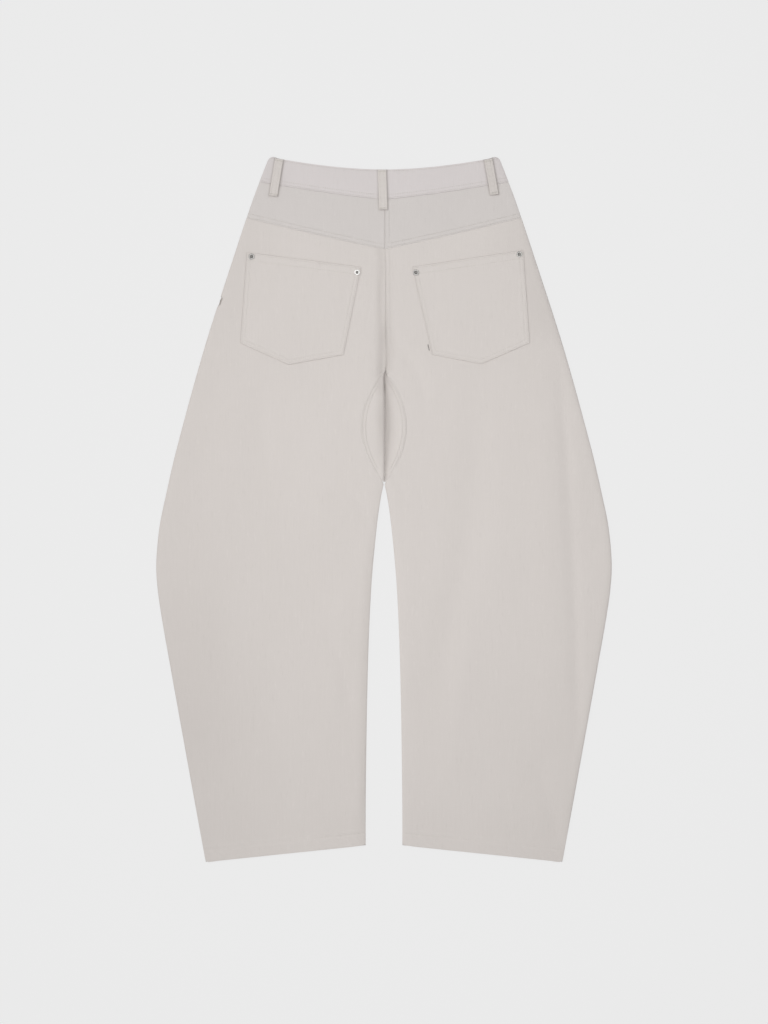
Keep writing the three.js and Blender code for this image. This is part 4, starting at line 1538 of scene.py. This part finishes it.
def stitch_rows(name, rows):
    """rows is a list of (curve, height function)."""
    rng = random.Random(len(name))
    bm = bmesh.new()
    count = 0
    for curve, height in rows:
        for x, y, turn in curve_points(curve):
            z = height(x, y)
            rise = height(x + AHEAD * math.cos(turn), y + AHEAD * math.sin(turn)) - z
            spot = Matrix.Translation(Vector((x, y, z + STITCH_SET_OUT)) * MM)
            aim = Matrix.Rotation(turn + rng.uniform(-0.05, 0.05), 4, "Z")
            pitch = Matrix.Rotation(-math.atan2(rise, AHEAD), 4, "Y")
            size = Matrix.Diagonal((STITCH_LONG / 2 * MM, STITCH_WIDE / 2 * MM, STITCH_HIGH / 2 * MM, 1))
            bmesh.ops.create_icosphere(bm, subdivisions=1, radius=1, matrix=spot @ aim @ pitch @ size)
            count += 1
    finish_piece(new_object(name, bm), [], THREAD)
    print(name, count, "stitches")


# %% [markdown]
# A row needs a curve on the table and a height above it. The curve is a seam line moved by a few
# millimetres, and the height is that of the cloth it is sewn to.

# %% Rows across the back, the band and the hems
STITCH_MARGIN = 2.5
YOKE_SIDE_Y, SEAM_SIDE_Y, EDGE_SIDE_Y = 434, 490, 527
HEM_ENDS = (HEM_INNER[0] + 2, side_seam(-508) - STITCH_MARGIN)


def leg_top(x, y):
    return underside(x, y) + CLOTH + leg_relief(x, y)


def yoke_top(x, y):
    return underside(x, y) + CLOTH + 0.15


def band_top(x, y):
    return underside(x, y) + BAND + 0.02


def across_curve(line, offset, x_from, x_to):
    return lambda t: (mix(x_from, x_to, t), line(mix(x_from, x_to, t)) + offset)


def side_end(y):
    return side_seam(y) - STITCH_MARGIN


def right_across(line, offset, y):
    """A row from one side of the garment to the other, where the sides lie at height y."""
    return across_curve(line, offset, -side_end(y), side_end(y))


body_rows = []
for row in EDGE_ROWS:
    body_rows.append((right_across(yoke_seam, row, YOKE_SIDE_Y), yoke_top))
for row in CENTRE_ROWS:
    body_rows.append((lambda t, row=row: (row, mix(CROTCH_Y + 3, yoke_seam(0), t)), leg_top))
    body_rows.append((lambda t, row=row: (row, mix(yoke_seam(0) + 8, 448, t)), yoke_top))
stitch_rows("stitching_yoke_and_centre", body_rows)

band_rows = [(right_across(waist_seam, row, SEAM_SIDE_Y), band_top) for row in BAND_ROWS]
band_rows.append((right_across(waist_edge, -WAIST_ROW, EDGE_SIDE_Y), band_top))
stitch_rows("stitching_waistband", band_rows)


def hem_row(side):
    return across_curve(hem_line, HEM_ROW, side * HEM_ENDS[0], side * HEM_ENDS[1])


stitch_rows("stitching_hems", [(hem_row(side), leg_top) for side in (-1, 1)])

# %% [markdown]
# Round the gusset the rows follow its lens, a little inside the seam, and stop short of the two points,
# where the machine can't turn.

# %% Rows round the gusset
GUSSET_ROWS = (1.9, 6.5)
LENS_POINT = 12


def gusset_top(x, y):
    return underside(x, y) + CLOTH + 0.1


def lens_row(side, row):
    def curve(t):
        y = mix(LEGS_PART_Y + LENS_POINT + row, CROTCH_Y - LENS_POINT - row, t)
        return side * (gusset_half(y) - row), y

    return curve


gusset_rows = [(lens_row(side, row), gusset_top) for side in (-1, 1) for row in GUSSET_ROWS]
stitch_rows("stitching_gusset", gusset_rows)

# %% [markdown]
# The front is sewn too. Two rows run down beside the fly and curve in to the centre seam, two follow each
# pocket mouth, and one runs along each long edge of the band and each hem. They touch the table.

# %% Stitching on the front
FRONT_STITCH = 0.18
FLY_WIDE, FLY_BEND_Y, FLY_DEEP = 34, 330, 38
FLY_STRAIGHT = 0.7
FLY_ROW = 6
FRONT_EDGE_SIDE_Y = 524


def fly_row(inset):
    """Down the left front and round to the centre seam."""
    wide = FLY_WIDE - inset

    def curve(t):
        if t < FLY_STRAIGHT:
            return -wide, mix(front_seam(wide) - 2, FLY_BEND_Y, t / FLY_STRAIGHT)
        angle = math.pi / 2 * (t - FLY_STRAIGHT) / (1 - FLY_STRAIGHT)
        return -wide * math.cos(angle), FLY_BEND_Y - (FLY_DEEP - inset) * math.sin(angle)

    return curve


def mouth_row(side, inward):
    def curve(t):
        angle = t * math.pi / 2
        x = mix(MOUTH_WAIST_X, MOUTH_SIDE_X, 1 - math.cos(angle)) - inward * math.cos(angle)
        y = mix(MOUTH_WAIST_Y, MOUTH_SIDE_Y, math.sin(angle)) - inward * math.sin(angle)
        return side * x, y

    return curve


front_rows = [fly_row(0), fly_row(FLY_ROW)]
front_rows += [lambda t, x=x: (x, mix(CROTCH_Y + 4, FLY_BEND_Y - FLY_DEEP, t)) for x in CENTRE_ROWS]
for side in (-1, 1):
    front_rows += [mouth_row(side, inward) for inward in EDGE_ROWS]
    front_rows.append(hem_row(side))
    middle = -2 if side < 0 else BAND_END_X + 2
    front_rows.append(across_curve(front_seam, BAND_ROWS[0], middle, side * side_end(SEAM_SIDE_Y)))
    end = side * (side_end(FRONT_EDGE_SIDE_Y) - 1.5)
    front_rows.append(across_curve(front_edge, -WAIST_ROW, middle, end))
stitch_rows("stitching_front", [(curve, lambda x, y: FRONT_STITCH) for curve in front_rows])

# %% [markdown]
# The rows round a pocket follow its outline moved inwards. Each edge line is shifted towards the middle
# and cut at its crossings with its neighbours, which gives the clean mitred corners that a sewing machine
# makes when it turns.

# %% Lines moved in, and their crossings
def crossing(p, q, r, s):
    """Where the line through p and q meets the line through r and s."""
    a, b = (q[0] - p[0], q[1] - p[1]), (s[0] - r[0], s[1] - r[1])
    cross = a[0] * b[1] - a[1] * b[0]
    t = ((r[0] - p[0]) * b[1] - (r[1] - p[1]) * b[0]) / cross
    return p[0] + a[0] * t, p[1] + a[1] * t


def moved_in(start, end, middle, distance):
    dx, dy = end[0] - start[0], end[1] - start[1]
    long = math.hypot(dx, dy)
    normal = (-dy / long, dx / long)
    if normal[0] * (middle[0] - start[0]) + normal[1] * (middle[1] - start[1]) < 0:
        normal = (-normal[0], -normal[1])
    return tuple((p[0] + normal[0] * distance, p[1] + normal[1] * distance) for p in (start, end))


def pocket_outline(corners, distance, mouth_distance):
    c = corners
    middle = ((c["inside_top"][0] + c["outside_end"][0]) / 2, (c["inside_top"][1] + c["outside_end"][1]) / 2)
    edges = [
        moved_in(c["inside_top"], c["inside_end"], middle, distance),
        moved_in(c["inside_end"], c["point"], middle, distance),
        moved_in(c["point"], c["outside_end"], middle, distance),
        moved_in(c["outside_end"], c["outside_top"], middle, distance),
        moved_in(c["outside_top"], c["inside_top"], middle, mouth_distance),
    ]
    turned = edges[-1:] + edges[:-1]
    return [crossing(*before, *after) for before, after in zip(turned, edges)]


print("left pocket's inner row starts at", [round(at) for at in pocket_outline(POCKETS["left"], 6.3, 1.5)[0]])

# %% Pocket stitching
ROW_START = 1.5


def straight(a, b):
    return lambda t: (mix(a[0], b[0], t), mix(a[1], b[1], t))


for name, corners in POCKETS.items():
    def height(x, y, corners=corners):
        return pocket_face(corners, x, y)

    rows = []
    for distance in POCKET_ROWS:
        p = pocket_outline(corners, distance, ROW_START)
        rows += [(straight(p[k], p[k + 1]), height) for k in range(4)]
    for mouth in (MOUTH_ROW, MOUTH_HEM):
        p = pocket_outline(corners, MOUTH_ROW, mouth)
        rows.append((straight(p[4], p[0]), height))
    stitch_rows(f"stitching_pocket_{name}", rows)

# %% [markdown]
# Each belt loop has two rows along it. A bar tack holds each of its ends, where a belt pulls: a dense
# zigzag, sewn over both loop and band.

# %% Rows and tacks on the belt loops
LOOP_ROW_START = 3
TACK_WIDE, TACK_THREADS = 11.0, 19
TACK_LEAN = 0.28
TACK_THREAD = (1.15, 0.34, 0.3)


def loop_lines(ends):
    """The ends of a loop's stitch rows, and the middles of its bar tacks with their direction."""
    top_x, top_y, end_x, end_y = ends
    long = math.hypot(end_x - top_x, end_y - top_y)
    aside = ((top_y - end_y) / long, (end_x - top_x) / long)
    rows, middles = [], []
    for off in (-LOOP_WIDE / 2 + LOOP_ROW, LOOP_WIDE / 2 - LOOP_ROW):
        a = (top_x + aside[0] * off, top_y + aside[1] * off - LOOP_ROW_START)
        b = (end_x + aside[0] * off, end_y + aside[1] * off + LOOP_ROW_START)
        rows.append(straight(a, b))
    for v in (TACK_IN / long, 1 - TACK_IN / long):
        centre = (mix(top_x, end_x, v), mix(top_y, end_y, v))
        middles.append((centre, aside, loop_height(*ends, v) + LOOP_THICK - 0.35))
    return rows, middles


loop_rows = []
tacks = []
for ends in BACK_LOOPS.values():
    def on_loop(x, y, ends=ends):
        v = clamp((ends[1] - y) / (ends[1] - ends[3]))
        return loop_height(*ends, v) + LOOP_THICK - 0.3

    rows, middles = loop_lines(ends)
    loop_rows += [(row, on_loop) for row in rows]
    tacks += middles
stitch_rows("stitching_belt_loops", loop_rows)


# %% [markdown]
# The zigzag is made of beads that lean to one side and to the other in turn.

# %% Bar tacks
def bar_tacks(name, places, wide=TACK_WIDE, threads=TACK_THREADS, finish=THREAD):
    bm = bmesh.new()
    for (x, y), aside, z in places:
        turn = math.atan2(aside[1], aside[0])
        for n in range(threads):
            off = (n / (threads - 1) - 0.5) * wide
            spot = Matrix.Translation(Vector((x + aside[0] * off, y + aside[1] * off, z + 0.15)) * MM)
            lean = TACK_LEAN if n % 2 else -TACK_LEAN
            aim = Matrix.Rotation(turn + math.pi / 2 + lean, 4, "Z")
            size = Matrix.Diagonal((*(Vector(TACK_THREAD) * MM), 1))
            bmesh.ops.create_icosphere(bm, subdivisions=1, radius=1, matrix=spot @ aim @ size)
    finish_piece(new_object(name, bm), [], finish)
    print(name, len(places))


bar_tacks("bar_tacks_belt_loops", tacks)

# %% [markdown]
# Beside the right pocket's inner lower corner a short tack in darker thread was left in the cloth. It
# runs along the pocket's edge.

# %% The grey tack
TACK_SPOT = (66.8, 242.5)
TACK_ALONG = (0.21, -0.978)
bar_tacks(
    "grey_tack", [(TACK_SPOT, TACK_ALONG, leg_top(*TACK_SPOT))], wide=8.5, threads=17, finish=GREY_THREAD,
)

# %% [markdown]
# ## Table, light and camera
# The photo is a cut-out on pale grey, taken straight from above. The table is mostly its own pale glow
# with a little plain diffuse for the contact shadow, so it stays even. A long strip box overhead gives
# most of the light and fades a little towards the hems. A window far to the left draws the folds, and the
# world fills in the rest.

# %% Table
PHOTO_HIGH = 1024
MM_PER_PIXEL = 1.5
TABLE_TONE = 0.8325
TABLE_SHADE = 0.08
TABLE_HALF = 30
TABLE_BELOW = 0.0004


def table():
    bm = bmesh.new()
    bmesh.ops.create_grid(bm, x_segments=1, y_segments=1, size=TABLE_HALF)
    bmesh.ops.translate(bm, verts=bm.verts, vec=(0, 0, -TABLE_BELOW))
    obj = new_object("table", bm)
    material, tree, shader = new_material("pale table")
    tree.nodes.remove(shader)
    tone = {"Color": (TABLE_TONE, TABLE_TONE, TABLE_TONE, 1)}
    glow = make_node(tree, "ShaderNodeEmission", sockets=tone)
    plain = make_node(tree, "ShaderNodeBsdfDiffuse", sockets=tone)
    blend = make_node(tree, "ShaderNodeMixShader", sockets={0: TABLE_SHADE, 1: glow, 2: plain})
    set_sockets(tree, tree.nodes["Material Output"], {"Surface": blend})
    obj.data.materials.append(material)
    print("table tone", TABLE_TONE)


table()

# %% [markdown]
# The two lamps are area lights, because a large soft source gives folds their gentle shading. Their power
# was set by comparing the same patches of cloth in the photo and in a render.

# %% Light
def aim(obj, target):
    obj.rotation_euler = (Vector(target) - obj.location).to_track_quat("-Z", "Y").to_euler()


def area_light(name, place, size, energy, target=(0, 0.05, 0)):
    data = bpy.data.lights.new(name, "AREA")
    data.shape = "RECTANGLE"
    data.size, data.size_y = size
    data.energy = energy
    obj = bpy.data.objects.new(name, data)
    bpy.context.scene.collection.objects.link(obj)
    obj.location = place
    aim(obj, target)
    print(name, energy, "W")


area_light("window from the left", (-5.0, 1.4, 3.9), (2.4, 2.4), 88)
area_light("strip box overhead", (0.0, 0.12, 1.4), (0.7, 1.7), 11.5, target=(0.0, 0.12, 0))

world = bpy.data.worlds.new("studio")
world.use_nodes = True
world.node_tree.nodes["Background"].inputs["Color"].default_value = (1, 1, 1, 1)
world.node_tree.nodes["Background"].inputs["Strength"].default_value = 0.47
bpy.context.scene.world = world

# %% [markdown]
# The camera looks straight down. Its lens follows from its height and from the length of table that the
# photo's frame covers, so one pixel is 1.5 mm on the table.

# %% Camera
CAMERA_HEIGHT = 3.2
FRAME_HIGH = PHOTO_HIGH * MM_PER_PIXEL * MM
SENSOR = 36.0
GARMENT_MIDDLE_ROW = 509.5
CAMERA_Y = (GARMENT_MIDDLE_ROW - PHOTO_HIGH / 2) * MM_PER_PIXEL * MM

camera = bpy.data.cameras.new("photo camera")
camera.sensor_fit = "VERTICAL"
camera.sensor_height = SENSOR
camera.lens = SENSOR * CAMERA_HEIGHT / FRAME_HIGH
camera.clip_end = 100
eye = bpy.data.objects.new("photo camera", camera)
eye.location = (0, CAMERA_Y, CAMERA_HEIGHT)
bpy.context.scene.collection.objects.link(eye)
bpy.context.scene.camera = eye
bpy.context.scene.view_settings.view_transform = "Standard"
print("camera", round(camera.lens, 1), "mm lens,", CAMERA_HEIGHT, "m above the table")
